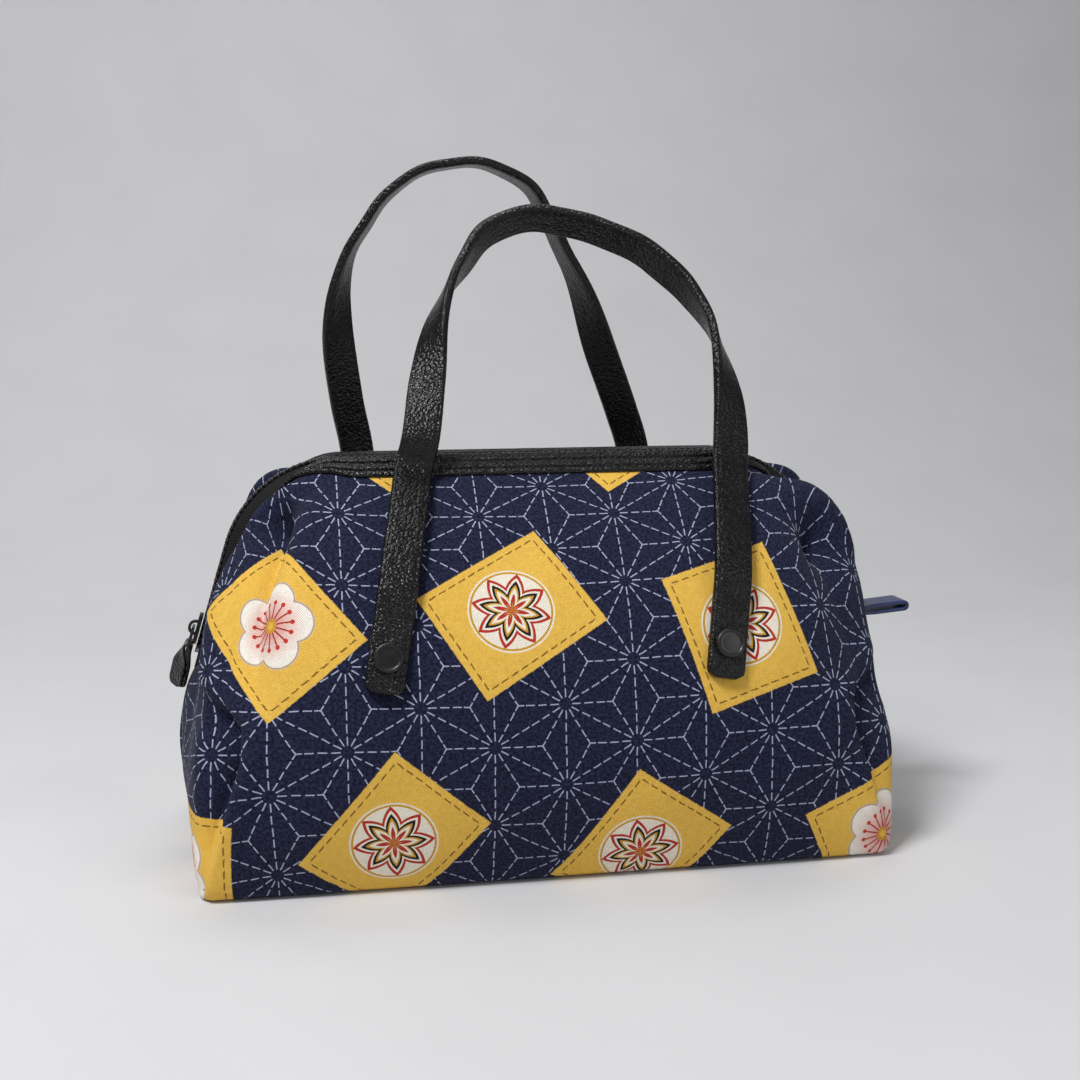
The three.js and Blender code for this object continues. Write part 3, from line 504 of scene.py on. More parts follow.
# Where on the printed cloth each panel is cut out.
print_start = {"front": (0.0746, 0.0107), "back": (0.61, 0.33)}
upright_within, slanted_from = 75 * mm, 125 * mm
net_u, net_v = np.meshgrid(np.linspace(0, 1, 61), np.linspace(0, 1, 21))
for half in ("front", "back"):
    formed = panel_face(net_u, net_v, half)
    flat_net = lay_flat(formed, np.stack([base_edge(net_u)[2], panel_curve(net_u, net_v)[..., 2]], axis=-1))
    cut = np.ptp(flat_net.reshape(-1, 2), axis=0)
    first, second = flat_net[1:, 1:] - flat_net[:-1, :-1], flat_net[1:, :-1] - flat_net[:-1, 1:]
    cut_area = np.abs(first[..., 0] * second[..., 1] - first[..., 1] * second[..., 0]).sum() / 2

    def place(u, v):
        face, spot = panel_face(u, v, half), between(flat_net, u, v)
        # The cloth is cut with its threads upright, and they stay so over the broad middle of the panel.
        upright = 1 - ease(np.abs(face[:, 0]), upright_within, slanted_from)
        spot[:, 0] = mix(spot[:, 0], face[:, 0], upright)
        return turned(face, half), spot + print_start[half]

    sew(
        half + "_panel", "cloth", (300, 110), place, cotton, "printed_cotton", cotton_thickness,
        flat=[float(side) for side in cut], area=float(cut_area),
    )

# The base: the same cotton, sewn round its edge to the panels, a stiff board that lies on it inside the bag,
# and a lining cloth over the board.
base_sheet_corner = 2.4 * mm


def base_sheet(name, inset, top, thickness, material, node):
    """A flat cloth with rounded corners, its upper face at a height over the table."""
    size = (base_length - 2 * inset, base_depth - 2 * inset)
    sheet = bmesh.new()
    bmesh.ops.create_grid(sheet, x_segments=1, y_segments=1, size=0.5)
    bmesh.ops.scale(sheet, vec=(*size, 1), verts=sheet.verts)
    bmesh.ops.bevel(
        sheet, geom=sheet.verts, offset=base_sheet_corner, affect="VERTICES", segments=4, profile=0.5,
        material=-1,
    )
    bmesh.ops.translate(sheet, vec=(0, 0, top), verts=sheet.verts)
    flat_map = sheet.loops.layers.uv.new("flat")
    for face in sheet.faces:
        for loop in face.loops:
            loop[flat_map].uv = loop.vert.co[:2]
    piece = make(name, sheet, material, stands_for=[node])
    thicken(piece, thickness)


base_sheet("base_cloth", 4.9 * mm, 1.4 * mm, cotton_thickness, cotton, "base_panel")

# Dyed polyester lining: a smooth dark cloth with a fine even weave and a faint sheen.
# Real threads lie 0.2 mm apart; they are drawn at 0.8 mm. A wave texture repeats 20 / 6.28 times in a unit.
lining, cloth_map = finish("dyed polyester lining", uv_map="flat")
lining_thickness, lining_threads, wave_unit = 0.8 * mm, 0.8 * mm, 6.28 / 20
weave = add(lining, "TexWave", {"Vector": cloth_map, "Scale": wave_unit / lining_threads, "Distortion": 0.4})
_, colour = mottle(lining, cloth_map, 6 * mm, 3, "#1e1f28", "#2b2c36")
relief = add(lining, "Bump", {"Height": weave, "Strength": 0.3, "Distance": 0.08 * mm})
surface = add(lining, "BsdfPrincipled", {
    "Base Color": colour, "Roughness": 0.7, "Sheen Weight": 0.2, "Normal": relief,
})
add(lining, "OutputMaterial", (surface,))
base_sheet("base_lining_cloth", 2.4 * mm, 4.6 * mm, lining_thickness, lining, "base_lining")


def plain_finish(name, size, detail, dark, light, shine, bump=0, **sockets):
    """A material with a noise of one size in its tint, in its roughness if that is a range, and in a low
    bump if it has one."""
    material, here = finish(name, "TexCoord")
    worn, tint = mottle(material, here.outputs["Object"], size, detail, dark, light)
    if isinstance(shine, tuple):
        shine = add(material, "MapRange", (worn, 0, 1, *shine))
    if bump:
        relief = {"Height": worn, "Strength": bump, "Distance": 0.1 * mm}
        sockets["Normal"] = add(material, "Bump", relief)
    surface = add(material, "BsdfPrincipled", {"Base Color": tint, "Roughness": shine, **sockets})
    add(material, "OutputMaterial", (surface,))
    return material


# Grey board of pressed paper pulp: pale and matt, with flecks of fibre.
greyboard = plain_finish("pressed pulp greyboard", 1.5 * mm, 5, "#bdb5a4", "#dad4c6", 0.9, bump=0.3)


def dress(node, material, edge):
    """Gives a solid of the frame its material, and rounds its edges."""
    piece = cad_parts[node]
    piece.data.materials.clear()
    piece.data.materials.append(material)
    piece.modifiers.new("join", "WELD").merge_threshold = 0.005 * mm
    rounded = piece.modifiers.new("edges", "BEVEL")
    rounded.width, rounded.segments, rounded.limit_method = edge, 2, "ANGLE"
    rounded.angle_limit = math.radians(40)


dress("base_board", greyboard, 0.4 * mm)

# The linings: a plain cloth behind each panel, sewn in with it at the rim, which hangs straight behind the
# ears and ends above the base lining.
lining_depth, lining_foot, lining_below = 3.3 * mm, 6.5 * mm, 8 * mm


def below_rim(u, distance, half, near=0.02):
    """The height share on the panel at a distance down the cloth from the rim."""
    step = panel_face(u, np.ones_like(u), half, 0) - panel_face(u, np.full_like(u, 1 - near), half, 0)
    return 1 - near * distance / np.linalg.norm(step, axis=-1)


for half in ("front", "back"):
    def place(u, v):
        rim = zip_point(u * zip_length, 0 * u, 0)
        low = lining_foot / (0.9 * rim[..., 2])
        share = mix(low, below_rim(u, lining_below, half), v)
        point = off_panel(u, share, np.full_like(u, -lining_depth), half, eared=0)
        laid = np.stack([base_edge(u)[2], v * rim[..., 2]], axis=-1)
        return turned(point, half), laid

    sew(
        half + "_lining", "cloth", (140, 48), place, lining, "lining_cloth", lining_thickness,
        flat=(0.35, 0.16), area=0.042,
    )

# The zip tapes: two woven polyester tapes that carry the teeth along their inner edges and are sewn behind
# the rims of the panels.
tape_margin, tape_depth, tape_tuck, tape_thickness = 9 * mm, 1.5 * mm, 8 * mm, 0.7 * mm
tape_gap, tape_flat, rim_room, rim_gap = 0.3 * mm, 4.6 * mm, 3 * mm, 0.5 * mm
tape_width = 16 * mm
# Woven polyester tape: black and dull, with slanting twill lines. The real lines lie 0.5 mm apart; they are
# drawn at 1 mm.
tape_weave, cloth_map = finish("woven polyester tape", uv_map="flat")
twill_apart, twill_slant = 1 * mm, math.radians(38)
slanted = add(tape_weave, "Mapping", {"Vector": cloth_map, "Rotation": (0, 0, twill_slant)})
twill = add(tape_weave, "TexWave", {"Vector": slanted, "Scale": wave_unit / twill_apart, "Distortion": 0.6})
colour = add(tape_weave, "MixRGB", (twill, "#0b0b0c", "#151517"))
relief = add(tape_weave, "Bump", {"Height": twill, "Strength": 0.5, "Distance": 0.12 * mm})
surface = add(tape_weave, "BsdfPrincipled", {
    "Base Color": colour, "Roughness": 0.75, "Specular IOR Level": 0.2, "Sheen Weight": 0.03,
    "Normal": relief,
})
add(tape_weave, "OutputMaterial", (surface,))
for half in ("front", "back"):
    def place(u, v):
        share = mix(tape_margin / zip_length, 1 - tape_margin / zip_length, u)
        distance = share * zip_length
        flat = np.minimum(tape_flat, zip_rim(distance)[0] - rim_room)
        tucked = mix(1, below_rim(share, tape_tuck, half), np.clip(2 * v - 1, 0, 1))
        inner = zip_point(distance, -tape_gap, -tape_depth)
        outer = zip_point(distance, -flat, -tape_depth)
        behind = off_panel(share, tucked, np.full_like(share, -tape_depth - rim_gap), half)
        point = mix(inner, outer, np.clip(4 * v, 0, 1)[:, None])
        point = mix(point, behind, np.clip(4 * v - 1, 0, 1)[:, None])
        return turned(point, half), np.stack([distance, v * tape_width], axis=-1)

    sew(
        half + "_zip_tape", "cloth", (220, 16), place, tape_weave, "zip_tape", tape_thickness,
        flat=(0.356, 0.016),
    )

# The zip's teeth: two rows of moulded nylon, each tooth reaching between two teeth of the other row, so
# that they lock when the slider presses them together.
chain_start, chain_end = 16.5 * mm, zip_length - 25.5 * mm
tooth_pitch, tooth_length, tooth_drop, tooth_round = 2.6 * mm, 1.24 * mm, 0.3 * mm, 0.25 * mm
tooth_height, tooth_outer, tooth_reach = 1.8 * mm, 2.6 * mm, 0.9 * mm


def zip_axes(distance):
    """Axes on the zip's line: along it, across it towards the back, and out of the bag."""
    at = zip_point(np.array([distance - 0.01 * mm, distance, distance + 0.01 * mm]), 0, 0)
    out = Vector(zip_point(np.array([distance]), 0, 1 * mm)[0] - at[1]).normalized()
    along = Vector(at[2] - at[0]).normalized()
    return Matrix.Translation(at[1]) @ Matrix((along, (0, 1, 0), out)).transposed().to_4x4()


# Moulded nylon: black, smooth and a little glossy, rubbed duller in places by the slider.
nylon = plain_finish("moulded nylon", 4 * mm, 3, "#0d0d0f", "#17171a", (0.32, 0.5), IOR=1.53)
for half, first, side in (("front", chain_start + 0.6 * mm, -1), ("back", chain_start + 1.9 * mm, 1)):
    teeth = bmesh.new()
    size = Matrix.Diagonal((tooth_length, tooth_outer + tooth_reach, tooth_height, 1))
    spot = Matrix.Translation((0, side * (tooth_outer - tooth_reach) / 2, -tooth_drop))
    distance = first
    while distance + tooth_length / 2 < chain_end:
        bmesh.ops.create_cube(teeth, size=1, matrix=zip_axes(distance) @ spot @ size)
        distance += tooth_pitch
    bmesh.ops.bevel(
        teeth, geom=teeth.edges, offset=tooth_round, affect="EDGES", segments=1, profile=0.5, material=-1,
    )
    make(half + "_zip_chain", teeth, nylon, stands_for=[half + "_zip_teeth"])

# The zip's stops: short clips of plated steel, pressed over both rows of teeth past their two ends, so that
# the slider can't run off the chain.
# Plated steel: a grey metal with a soft, uneven shine.
steel = plain_finish("plated steel", 2 * mm, 4, "#7d7f84", "#9da0a5", (0.28, 0.45), Metallic=1)
for node in ("left_zip_stop", "right_zip_stop"):
    dress(node, steel, 0.35 * mm)

# The trims: strips of black leatherette sewn along the rims with two rows of stitches, running out to thin
# tips at the zip's corners.
trim_width, trim_tip, trim_margin, trim_taper = 11 * mm, 1.5 * mm, 88 * mm, 34 * mm
trim_rows, channel_depth, channel_half = (0.26, 0.66), 1.1 * mm, 0.55 * mm
trim_lift, trim_edge_drop, trim_fold, trim_over, trim_thickness = 1.7 * mm, 1.2 * mm, 0.85, 2.4 * mm, 0.9 * mm
edge_in, edge_up = 1.8 * mm, 0.4 * mm
stitch_start, stitch_apart, stitch_long, stitch_thick = 14 * mm, 3.4 * mm, 2.5 * mm, 0.55 * mm

# Pebbled PVC leatherette: deep black and semi-gloss, with rounded pebbles that each catch a small light.
# The real pebbles are about 0.9 mm wide; they are drawn at 1.2 mm, so that they show.
leatherette, strip_map = finish("pebbled PVC leatherette", uv_map="flat")
pebble, pore = 1.2 * mm, 0.5 * mm
grain = add(leatherette, "TexVoronoi", {"Vector": strip_map, "Scale": 1 / pebble, "Randomness": 0.9})
fine = add(leatherette, "TexNoise", {"Vector": strip_map, "Scale": 1 / pore, "Detail": 3})
height = add(leatherette, "Math.MULTIPLY_ADD", (fine, 0.35, grain.outputs["Distance"]))
worn, tint = mottle(leatherette, strip_map, 14 * mm, 3, "#060607", "#0e0e10")
shine = add(leatherette, "MapRange", (worn, 0, 1, 0.2, 0.34))
relief = add(leatherette, "Bump", {"Height": height, "Strength": 0.9, "Distance": 0.45 * mm}, invert=True)
surface = add(leatherette, "BsdfPrincipled", {
    "Base Color": tint, "Roughness": shine, "IOR": 1.5, "Specular IOR Level": 0.34, "Normal": relief,
})
add(leatherette, "OutputMaterial", (surface,))

# Bonded polyester thread: dark and slightly shiny.
thread = plain_finish("bonded polyester thread", 0.4 * mm, 2, "#121215", "#26262b", 0.5)


def trim_place(distance, v, lift, half):
    """Points on a trim: at a distance along the zip, v from its lower edge up to the rim, lifted off the
    cloth. Two sewn channels run along it. With the points comes how far they lie below the rim."""
    from_tip = np.minimum(distance, zip_length - distance) - trim_margin
    width = mix(trim_tip, trim_width, ease(from_tip, 0, trim_taper))
    sunk = channel_depth * ease(from_tip, 8 * mm, 26 * mm)
    for row in trim_rows:
        lift = lift - sunk * np.exp(-((v - row) * width / channel_half) ** 2)
    share = distance / zip_length
    return off_panel(share, below_rim(share, width * (1 - v), half), lift, half), width * (1 - v)


def stitch(shape, place, along, out, length, width):
    """Adds one stitch: a short round thread that dips into the cloth at both ends."""
    across = out.cross(along).normalized()
    axes = Matrix((along, across, along.cross(across))).transposed().to_4x4()
    spot = Matrix.Translation(place) @ axes @ Matrix.Diagonal((length, width, width, 1))
    bmesh.ops.create_icosphere(shape, subdivisions=1, radius=0.5, matrix=spot)


for half in ("front", "back"):
    def place(u, v):
        distance = mix(trim_margin, zip_length - trim_margin, u)
        on_cloth = np.minimum(v / trim_fold, 1)
        crown = trim_lift - trim_edge_drop * np.abs(2 * on_cloth - 1) ** 6 * (on_cloth < 0.5)
        point, below = trim_place(distance, on_cloth, crown, half)
        beside, ridge = zip_rim(distance)
        over_edge = zip_point(distance, edge_in - beside, edge_up - ridge)
        point = mix(point, over_edge, ease(v, trim_fold, 1)[:, None])
        laid = trim_over * ease(v, trim_fold, 1) - below
        return turned(point, half), np.stack([distance, laid], axis=-1)

    sew(
        half + "_trim", "strip", (150, 44), place, leatherette, "black_leatherette", trim_thickness,
        flat=(zip_length - 2 * trim_margin, trim_width + trim_over),
    )
    stitches = bmesh.new()
    first = trim_margin + stitch_start
    spots = np.arange(first, zip_length - trim_margin - stitch_start, stitch_apart)
    for row in trim_rows:
        rows = []
        for shift, lift in ((-1 * mm, 1.7 * mm), (1 * mm, 1.7 * mm), (0, 1.75 * mm), (0, 2.75 * mm)):
            points = trim_place(spots + shift, row, np.full_like(spots, lift), half)[0]
            rows.append(turned(points, half))
        for back_end, front_end, spot, above in zip(*rows):
            along = Vector(front_end - back_end).normalized()
            stitch(stitches, spot, along, Vector(above - spot).normalized(), stitch_long, stitch_thick)
    make(half + "_trim_stitches", stitches, thread)

# The handles: each is one leatherette strap, folded and glued along its length, that lies flat on the panel
# under a rivet at both ends, follows the panel up to the rim and stands in an arch that turns on itself.
# The points of the routes, the rises and the fold's place are in millimetres.
strap_half, strap_thick, strap_seat, strap_end = 7 * mm, 3.5 * mm, 0.5 * mm, 12 * mm
front_points = [
    (-55.7, -56.79, 108.29), (-52.8, -46.97, 121.69), (-49.55, -34.25, 135.08), (-46.72, -21.58, 145.77),
    (-44, -21, 156), (-40, -9, 177), (-35, 3, 199), (-26.5, 13, 216), (-12, 22, 233), (8, 25, 239),
    (36.5, 21.5, 232), (54, 16, 222), (66, 9, 209), (73, 1, 195), (76, -10.5, 172), (75, -18.5, 151),
    (73.75, -21.5, 145.62), (70.8, -33, 134.95), (67.5, -46.04, 121.69), (64.6, -56.43, 108.3),
]
back_points = [
    (-56, -61.5, 143), (-50, -58.5, 161), (-40, -55.5, 187), (-31, -53, 212), (-22, -52, 230),
    (-9, -50.5, 253), (15.5, -50, 263), (40, -50.5, 257), (58.5, -51.5, 238), (67, -52.5, 222),
    (70.5, -54, 198), (67.5, -58, 167), (63.5, -61, 145),
]
front_twist = ((0, 0.18, 0.44, 0.6, 0.84, 1), (0, 0, 128, 128, 0, 0))
back_twist = ((0, 0.2, 0.36, 0.5, 0.64, 0.8, 1), (0, 10, 80, 90, 80, 10, 0))
rivet_up = np.array([0, 0.35483, 0.93493])
rivet_out = {side: np.array([side * 0.04269, -0.93408, 0.35450]) for side in (-1, 1)}
rivet_place = {side: np.array([side * 60, -63.48, 84]) * mm for side in (-1, 1)}
foot_rises, fold_rise, fold_out, fold_reach = (-12, -5, 2, 9.25, 13), 9.25, 4, 5
strap_corner, edge_round = 3 * mm, 1.3 * mm
groove_in, groove_half, groove_depth = 1.6 * mm, 0.4 * mm, 0.25 * mm
route_step, sway = 1.6 * mm, 0.5 * mm

# The strap's section, from the middle of its inner face all the way round: flat, with rounded edges.
section = [(0, -strap_thick / 2)]
for side_x, side_y, start in ((1, -1, -90), (1, 1, 0), (-1, 1, 90), (-1, -1, 180)):
    for angle in np.radians(np.linspace(start, start + 90, 7)):
        section.append((
            side_x * (strap_half - edge_round) + edge_round * math.cos(angle),
            side_y * (strap_thick / 2 - edge_round) + edge_round * math.sin(angle),
        ))
section = np.array([*section, section[0]])
girth = np.concatenate([[0], np.cumsum(np.linalg.norm(np.diff(section, axis=0), axis=1))])


def smooth_route(points, spacing):
    """Evenly spaced points on a smooth curve through the given ones, and how far along it each lies."""
    ends = [2 * points[0] - points[1], *points, 2 * points[-1] - points[-2]]
    curve = []
    for before, here, after, beyond in zip(ends, ends[1:], ends[2:], ends[3:]):
        gaps = [np.linalg.norm(b - a) ** 0.5 for a, b in ((before, here), (here, after), (after, beyond))]
        leave = (here - before) / gaps[0] - (after - before) / (gaps[0] + gaps[1]) + (after - here) / gaps[1]
        arrive = (after - here) / gaps[1] - (beyond - here) / (gaps[1] + gaps[2]) + (beyond - after) / gaps[2]
        leave, arrive = leave * gaps[1], arrive * gaps[1]
        t = np.linspace(0, 1, 24, endpoint=False)[:, None]
        curve.append(
            here + leave * t + (3 * (after - here) - 2 * leave - arrive) * t ** 2
            + (2 * (here - after) + leave + arrive) * t ** 3
        )
    curve = np.concatenate([*curve, [points[-1]]])
    reach = np.concatenate([[0], np.cumsum(np.linalg.norm(np.diff(curve, axis=0), axis=1))])
    at = np.linspace(0, reach[-1], int(reach[-1] / spacing) + 1)
    return np.stack([np.interp(at, reach, curve[:, axis]) for axis in range(3)], axis=-1), at


def rounded_tip(half_width, from_tip):
    """Half the width of a strip near its tip, where both its corners are rounded."""
    inside = np.clip(from_tip, 0, strap_corner)
    return half_width - strap_corner + np.sqrt(strap_corner ** 2 - (strap_corner - inside) ** 2)


for half, points, twist, lean in (
    ("front", front_points, front_twist, 10), ("back", back_points, back_twist, 4.5),
):
    slope = rivet_up + np.array([math.tan(math.radians(lean)), 0, 0])
    foot = {
        side: [
            rivet_place[side] + slope * rise * mm + rivet_out[side] * (strap_seat + strap_thick / 2)
            for rise in foot_rises
        ] for side in (-1, 1)
    }
    route = [*foot[-1], *(np.array(point) * mm for point in points), *foot[1][::-1]]
    centre, at = smooth_route(route, route_step)
    hinge = strap_end + 9.5 * mm
    share = np.clip((at - hinge) / (at[-1] - 2 * hinge), 0, 1)
    turn = np.zeros_like(share)
    for start, stop, low, high in zip(twist[0], twist[0][1:], twist[1], twist[1][1:]):
        turn = np.where(share >= start, mix(low, high, ease(share, start, stop)), turn)
    turn = np.radians(turn)[:, None]
    along = np.gradient(centre, axis=0)
    along /= np.linalg.norm(along, axis=1, keepdims=True)
    face = np.array([0, -1, 0]) + along * along[:, 1:2]
    face /= np.linalg.norm(face, axis=1, keepdims=True)
    outward = np.cross(face, along)
    normal = face * np.cos(turn) + outward * np.sin(turn)
    across = np.cross(normal, along)
    slack = ease(share, 0.3, 0.4) * ease(1 - share, 0.25, 0.4)
    centre += normal * (sway * slack * np.sin(at / (5 * mm)) * np.sin(at / (13 * mm)))[:, None]
    half_width = rounded_tip(strap_half, np.minimum(at, at[-1] - at))

    def place(u, v):
        station = np.rint(v * (len(at) - 1)).astype(int)
        wide, thick = (np.interp(u * girth[-1], girth, section[:, axis]) for axis in (0, 1))
        groove = np.exp(-((np.abs(wide) - strap_half + groove_in) / groove_half) ** 2)
        thick -= groove_depth * groove * np.sign(thick)
        wide *= half_width[station] / strap_half
        point = centre[station] + across[station] * wide[:, None] + normal[station] * thick[:, None]
        return turned(point, half), np.stack([(u - 0.5) * girth[-1], at[station]], axis=-1)

    shape = bent_sheet(64, len(at) - 1, place)
    bmesh.ops.remove_doubles(shape, verts=shape.verts, dist=0.001 * mm)
    bmesh.ops.holes_fill(shape, edges=[edge for edge in shape.edges if edge.is_boundary])
    bmesh.ops.recalc_face_normals(shape, faces=shape.faces)
    strap = make(half + "_strap", shape, leatherette, body=None, stands_for=[
        half + "_handle", half + "_left_strap_end", half + "_right_strap_end",
    ])
    hinge_at = rivet_place[1] * (0, 1, 1) + rivet_up * fold_rise * mm
    hinge_at += rivet_out[1] * (0, 1, 1) * fold_out * mm
    low, high = (turned(hinge_at + rivet_up * rise * mm, half) for rise in (-fold_reach, fold_reach))
    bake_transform(strap)

# The rivets: black painted steel caps with a raised rim and a sunk middle, pressed through the strap and the
# panel onto plated backs inside.
cap_profile = (
    (0, 4.1), (4.9, 4.1), (5.2, 4.35), (5.3, 4.9), (5.25, 5.5), (5.05, 5.95), (4.7, 6.2), (4.4, 6.22),
    (4.15, 6.1), (4, 5.92), (3.8, 5.85), (3, 5.92), (1.5, 6), (0, 6.03),
)
# Black enamelled steel: a thin smooth paint, semi-gloss, rubbed a little brighter in places.
paint = plain_finish("black enamelled steel", 2.5 * mm, 5, "#0b0b0d", "#17171a", (0.26, 0.46), bump=0.12, **{
    "Specular IOR Level": 0.4, "Coat Weight": 0.15, "Coat Roughness": 0.2,
})
for half in ("front", "back"):
    for side in (-1, 1):
        cap = bmesh.new()
        verts = [cap.verts.new((radius * mm, 0, height * mm)) for radius, height in cap_profile]
        edges = [cap.edges.new(pair) for pair in zip(verts, verts[1:])]
        bmesh.ops.spin(
            cap, geom=verts + edges, cent=(0, 0, 0), axis=(0, 0, 1), angle=2 * math.pi, steps=40,
            use_merge=True,
        )
        bmesh.ops.remove_doubles(cap, verts=cap.verts, dist=0.002 * mm)
        bmesh.ops.recalc_face_normals(cap, faces=cap.faces)
        out, up = Vector(rivet_out[side]), Vector(rivet_up)
        axes = Matrix((up.cross(out), up, out)).transposed().to_4x4()
        bmesh.ops.transform(cap, matrix=Matrix.Translation(rivet_place[side]) @ axes, verts=cap.verts)
        if half == "back":
            bmesh.ops.rotate(cap, cent=(0, 0, 0), matrix=Matrix.Rotation(math.pi, 3, "Z"), verts=cap.verts)
        name = half + ("_left" if (side < 0) == (half == "front") else "_right")
        make(name + "_cap", cap, paint, stands_for=[name + "_rivet_cap"])
        dress(name + "_rivet_back", steel, 0.3 * mm)

# The slider and its pull: two black enamelled plates that run on the chain, a wire loop in the slider's
# crown, and a tab of leatherette folded round the loop and sewn to itself.
for node in ("slider_top_plate", "slider_bottom_plate", "pull_loop"):
    dress(node, paint, 0.3 * mm)
slider_at, pull_axis = 23 * mm, 3.35 * mm
pull_axes = zip_axes(slider_at) @ Matrix.Translation((0, 0, pull_axis))
tab_near, tab_half, tab_layer, tab_leg, tab_bend = -5.6 * mm, 5.25 * mm, 0.9 * mm, 16 * mm, 1.3 * mm
tab_gap, tab_opens, tab_wire = 0.8 * mm, (9 * mm, 17 * mm), 1.75 * mm
tab_turn, tab_turned_at, tab_rise = math.radians(28), 8 * mm, 0.9 * mm
droop_from, droop_slope = 3 * mm, 0.04


def folded_strip(u, leg, radius, gap, opens):
    """A strip folded double: how far a point lies along it and from its nearer end, how far out towards the
    fold, and how far off the plane between its two legs, which open from a gap to the fold's radius."""
    length = 2 * leg + math.pi * radius
    way = u * length
    back = np.minimum(way, length - way)
    bend = np.clip((way - leg) / radius, 0, math.pi)
    apart = np.where(back < leg, mix(gap, radius, ease(back, *opens)), radius * np.abs(np.cos(bend)))
    return way, back, np.minimum(back, leg) + radius * np.sin(bend), np.where(u < 0.5, 1, -1) * apart


def set_at(axes, local):
    """Points on axes of their own, in the frame of the bag."""
    return local @ np.array(axes.to_3x3()).T + np.array(axes.translation)


def pull_place(u, v):
    """A strip that runs up one side of the tab, round the wire, and down its other side."""
    way, back, out, z = folded_strip(u, tab_leg, tab_bend, tab_gap, tab_opens)
    x = tab_near - tab_wire - tab_leg + out
    y = (2 * v - 1) * rounded_tip(tab_half, back)
    # The soft tab has turned as it hangs, so that its face is seen from the front.
    hangs = ease(tab_leg - back, 0, tab_turned_at)
    turned_by = tab_turn * hangs
    y, z = y * np.cos(turned_by) - z * np.sin(turned_by), y * np.sin(turned_by) + z * np.cos(turned_by)
    z += tab_rise * hangs - droop_slope * np.maximum(tab_leg - back - droop_from, 0)
    return set_at(pull_axes, np.stack([x, y, z], axis=-1)), np.stack([way, v * 2 * tab_half], axis=-1)


sew(
    "pull_tab", "strip", (96, 14), pull_place, leatherette, "black_leatherette", tab_layer,
    flat=(0.036, 0.0105), held="folded", offset=0, body="zip_pull",
)

# The finger tab: a strip of smooth navy leatherette folded double and sewn into the right end of the zip, to
# hold on to while the slider is pulled.
finger_at, finger_tilt = zip_length - 20 * mm, math.radians(12)
finger_axes = zip_axes(finger_at) @ Matrix.Rotation(finger_tilt, 4, "Y")
finger_length, finger_half, finger_layer = 30 * mm, 6 * mm, 1.4 * mm
finger_foot, finger_bend, finger_gap, finger_opens = -0.6 * mm, 1.4 * mm, 0.75 * mm, (6 * mm, 16 * mm)
# Smooth PVC leatherette: navy and glossy, with a grain so fine that it only softens the lights.
navy_leather, strip_map = finish("smooth navy PVC leatherette", uv_map="flat")
fine = add(navy_leather, "TexVoronoi", {"Vector": strip_map, "Scale": 1 / (0.7 * mm)}, feature="SMOOTH_F1")
worn, tint = mottle(navy_leather, strip_map, 6 * mm, 3, "#15214a", "#23346a")
shine = add(navy_leather, "MapRange", (worn, 0, 1, 0.24, 0.4))
relief = add(navy_leather, "Bump", {
    "Height": fine.outputs["Distance"], "Strength": 0.2, "Distance": 0.1 * mm,
})
surface = add(navy_leather, "BsdfPrincipled", {
    "Base Color": tint, "Roughness": shine, "IOR": 1.5, "Normal": relief,
})
add(navy_leather, "OutputMaterial", (surface,))


def finger_place(u, v):
    """A strip that runs out along the tab, round its end, and back."""
    leg = finger_length - finger_bend - finger_layer / 2
    way, _, out, side = folded_strip(u, leg, finger_bend, finger_gap, finger_opens)
    local = np.stack([-side, (2 * v - 1) * finger_half, finger_foot + out], axis=-1)
    return set_at(finger_axes, local), np.stack([way, v * 2 * finger_half], axis=-1)


sew(
    "finger_tab", "strip", (120, 14), finger_place, navy_leather, "navy_leatherette", finger_layer,
    flat=(0.06, 0.012), held="folded", offset=0,
)

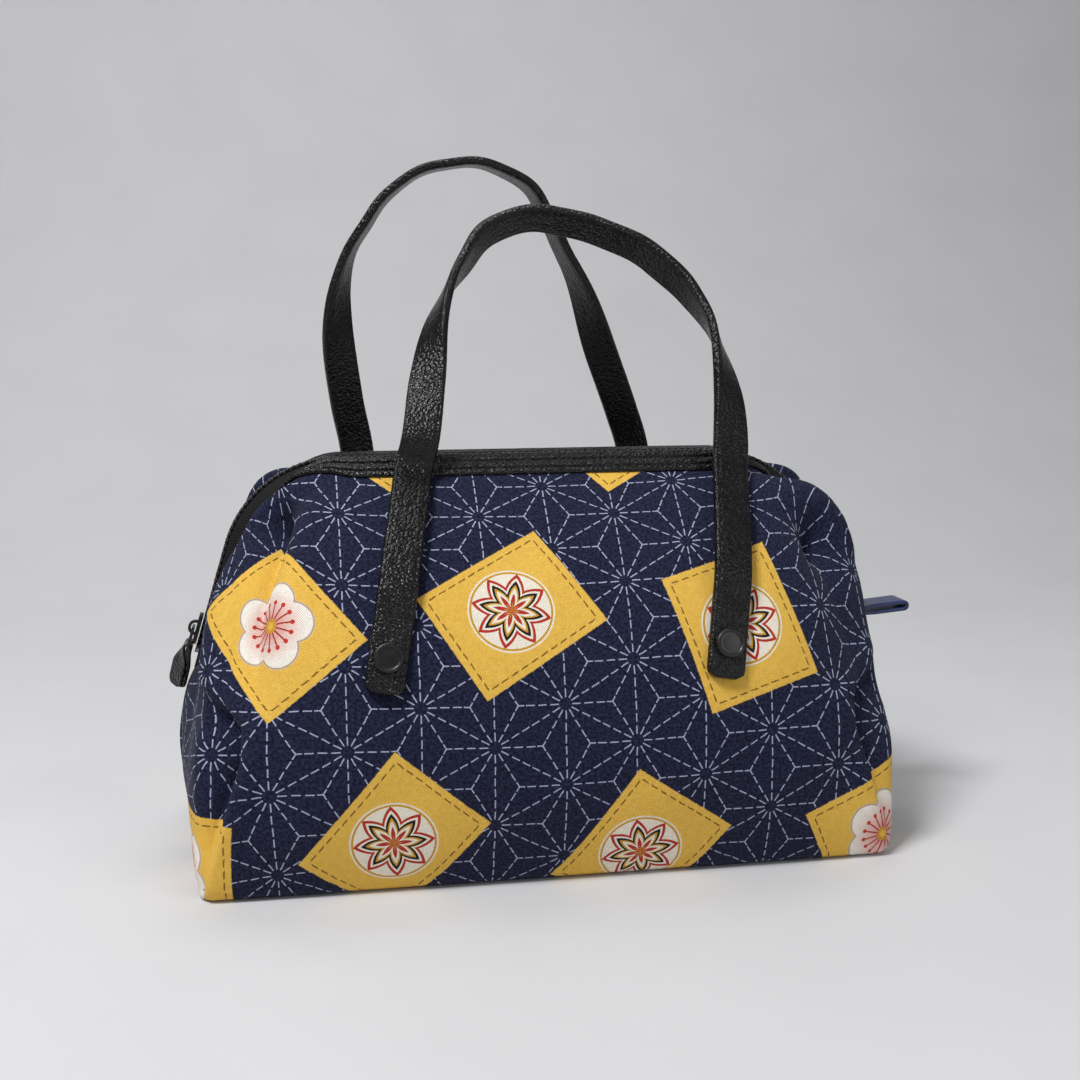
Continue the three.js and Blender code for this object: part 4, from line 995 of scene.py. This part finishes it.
# The studio: a pale floor that curves up into a backdrop, soft lamps above and at both sides, and a camera
# that stands where the photograph was taken.
# Painted plaster: pale and matt, with broad soft shifts of tone.
plaster = plain_finish("pale painted plaster", 80 * mm, 2, "#cbcbcd", "#d3d3d5", 0.8)
floor_near, floor_far, wall_height, floor_half, floor_bend = -2.5, 1.2, 2.6, 3, 0.8
floor = bmesh.new()
floor_line = ((floor_near, 0), (floor_far, 0), (floor_far, wall_height))
verts = [floor.verts.new((-floor_half, *spot)) for spot in floor_line]
for pair in zip(verts, verts[1:]):
    floor.edges.new(pair)
bmesh.ops.bevel(
    floor, geom=[verts[1]], offset=floor_bend, affect="VERTICES", segments=16, profile=0.5, material=-1,
)
drawn_out = bmesh.ops.extrude_edge_only(floor, edges=floor.edges)["geom"]
far = [part for part in drawn_out if isinstance(part, bmesh.types.BMVert)]
bmesh.ops.translate(floor, vec=(2 * floor_half, 0, 0), verts=far)
bmesh.ops.recalc_face_normals(floor, faces=floor.faces)
mesh_object("studio_floor", floor, plaster)

lamp_aim = Vector((0, 0, 0.1))
for name, spot, size, power in (
    ("key_lamp", (-0.6, -0.5, 1.3), 0.4, 19), ("fill_lamp", (0.9, -1.2, 0.7), 0.9, 4.5),
    ("top_lamp", (0.1, 0.5, 1.5), 0.6, 4),
):
    lamp = bpy.data.lights.new(name, "AREA")
    lamp.energy, lamp.size = power, size
    holder = bpy.data.objects.new(name, lamp)
    holder.location = spot
    holder.rotation_euler = (lamp_aim - Vector(spot)).to_track_quat("-Z", "Y").to_euler()
    bpy.context.scene.collection.objects.link(holder)
world = bpy.data.worlds.new("studio_air")
world.use_nodes = True
air = world.node_tree.nodes["Background"].inputs
air["Color"].default_value, air["Strength"].default_value = linear("#f2f3f6"), 0.2
bpy.context.scene.world = world

yaw, pitch, roll = math.radians(10), math.radians(-8.6), math.radians(-0.2)
camera_place = (-0.09, -0.533, 0.196)
camera = bpy.data.cameras.new("photo_camera")
camera.lens, camera.sensor_width = 46.67, 36
viewer = bpy.data.objects.new("photo_camera", camera)
ahead = Vector((math.sin(yaw) * math.cos(pitch), math.cos(yaw) * math.cos(pitch), math.sin(pitch)))
stand = Matrix.Translation(camera_place) @ ahead.to_track_quat("-Z", "Y").to_matrix().to_4x4()
viewer.matrix_world = stand @ Matrix.Rotation(roll, 4, "Z")
bpy.context.scene.collection.objects.link(viewer)
bpy.context.scene.camera = viewer
bpy.context.scene.view_settings.view_transform = "Standard"
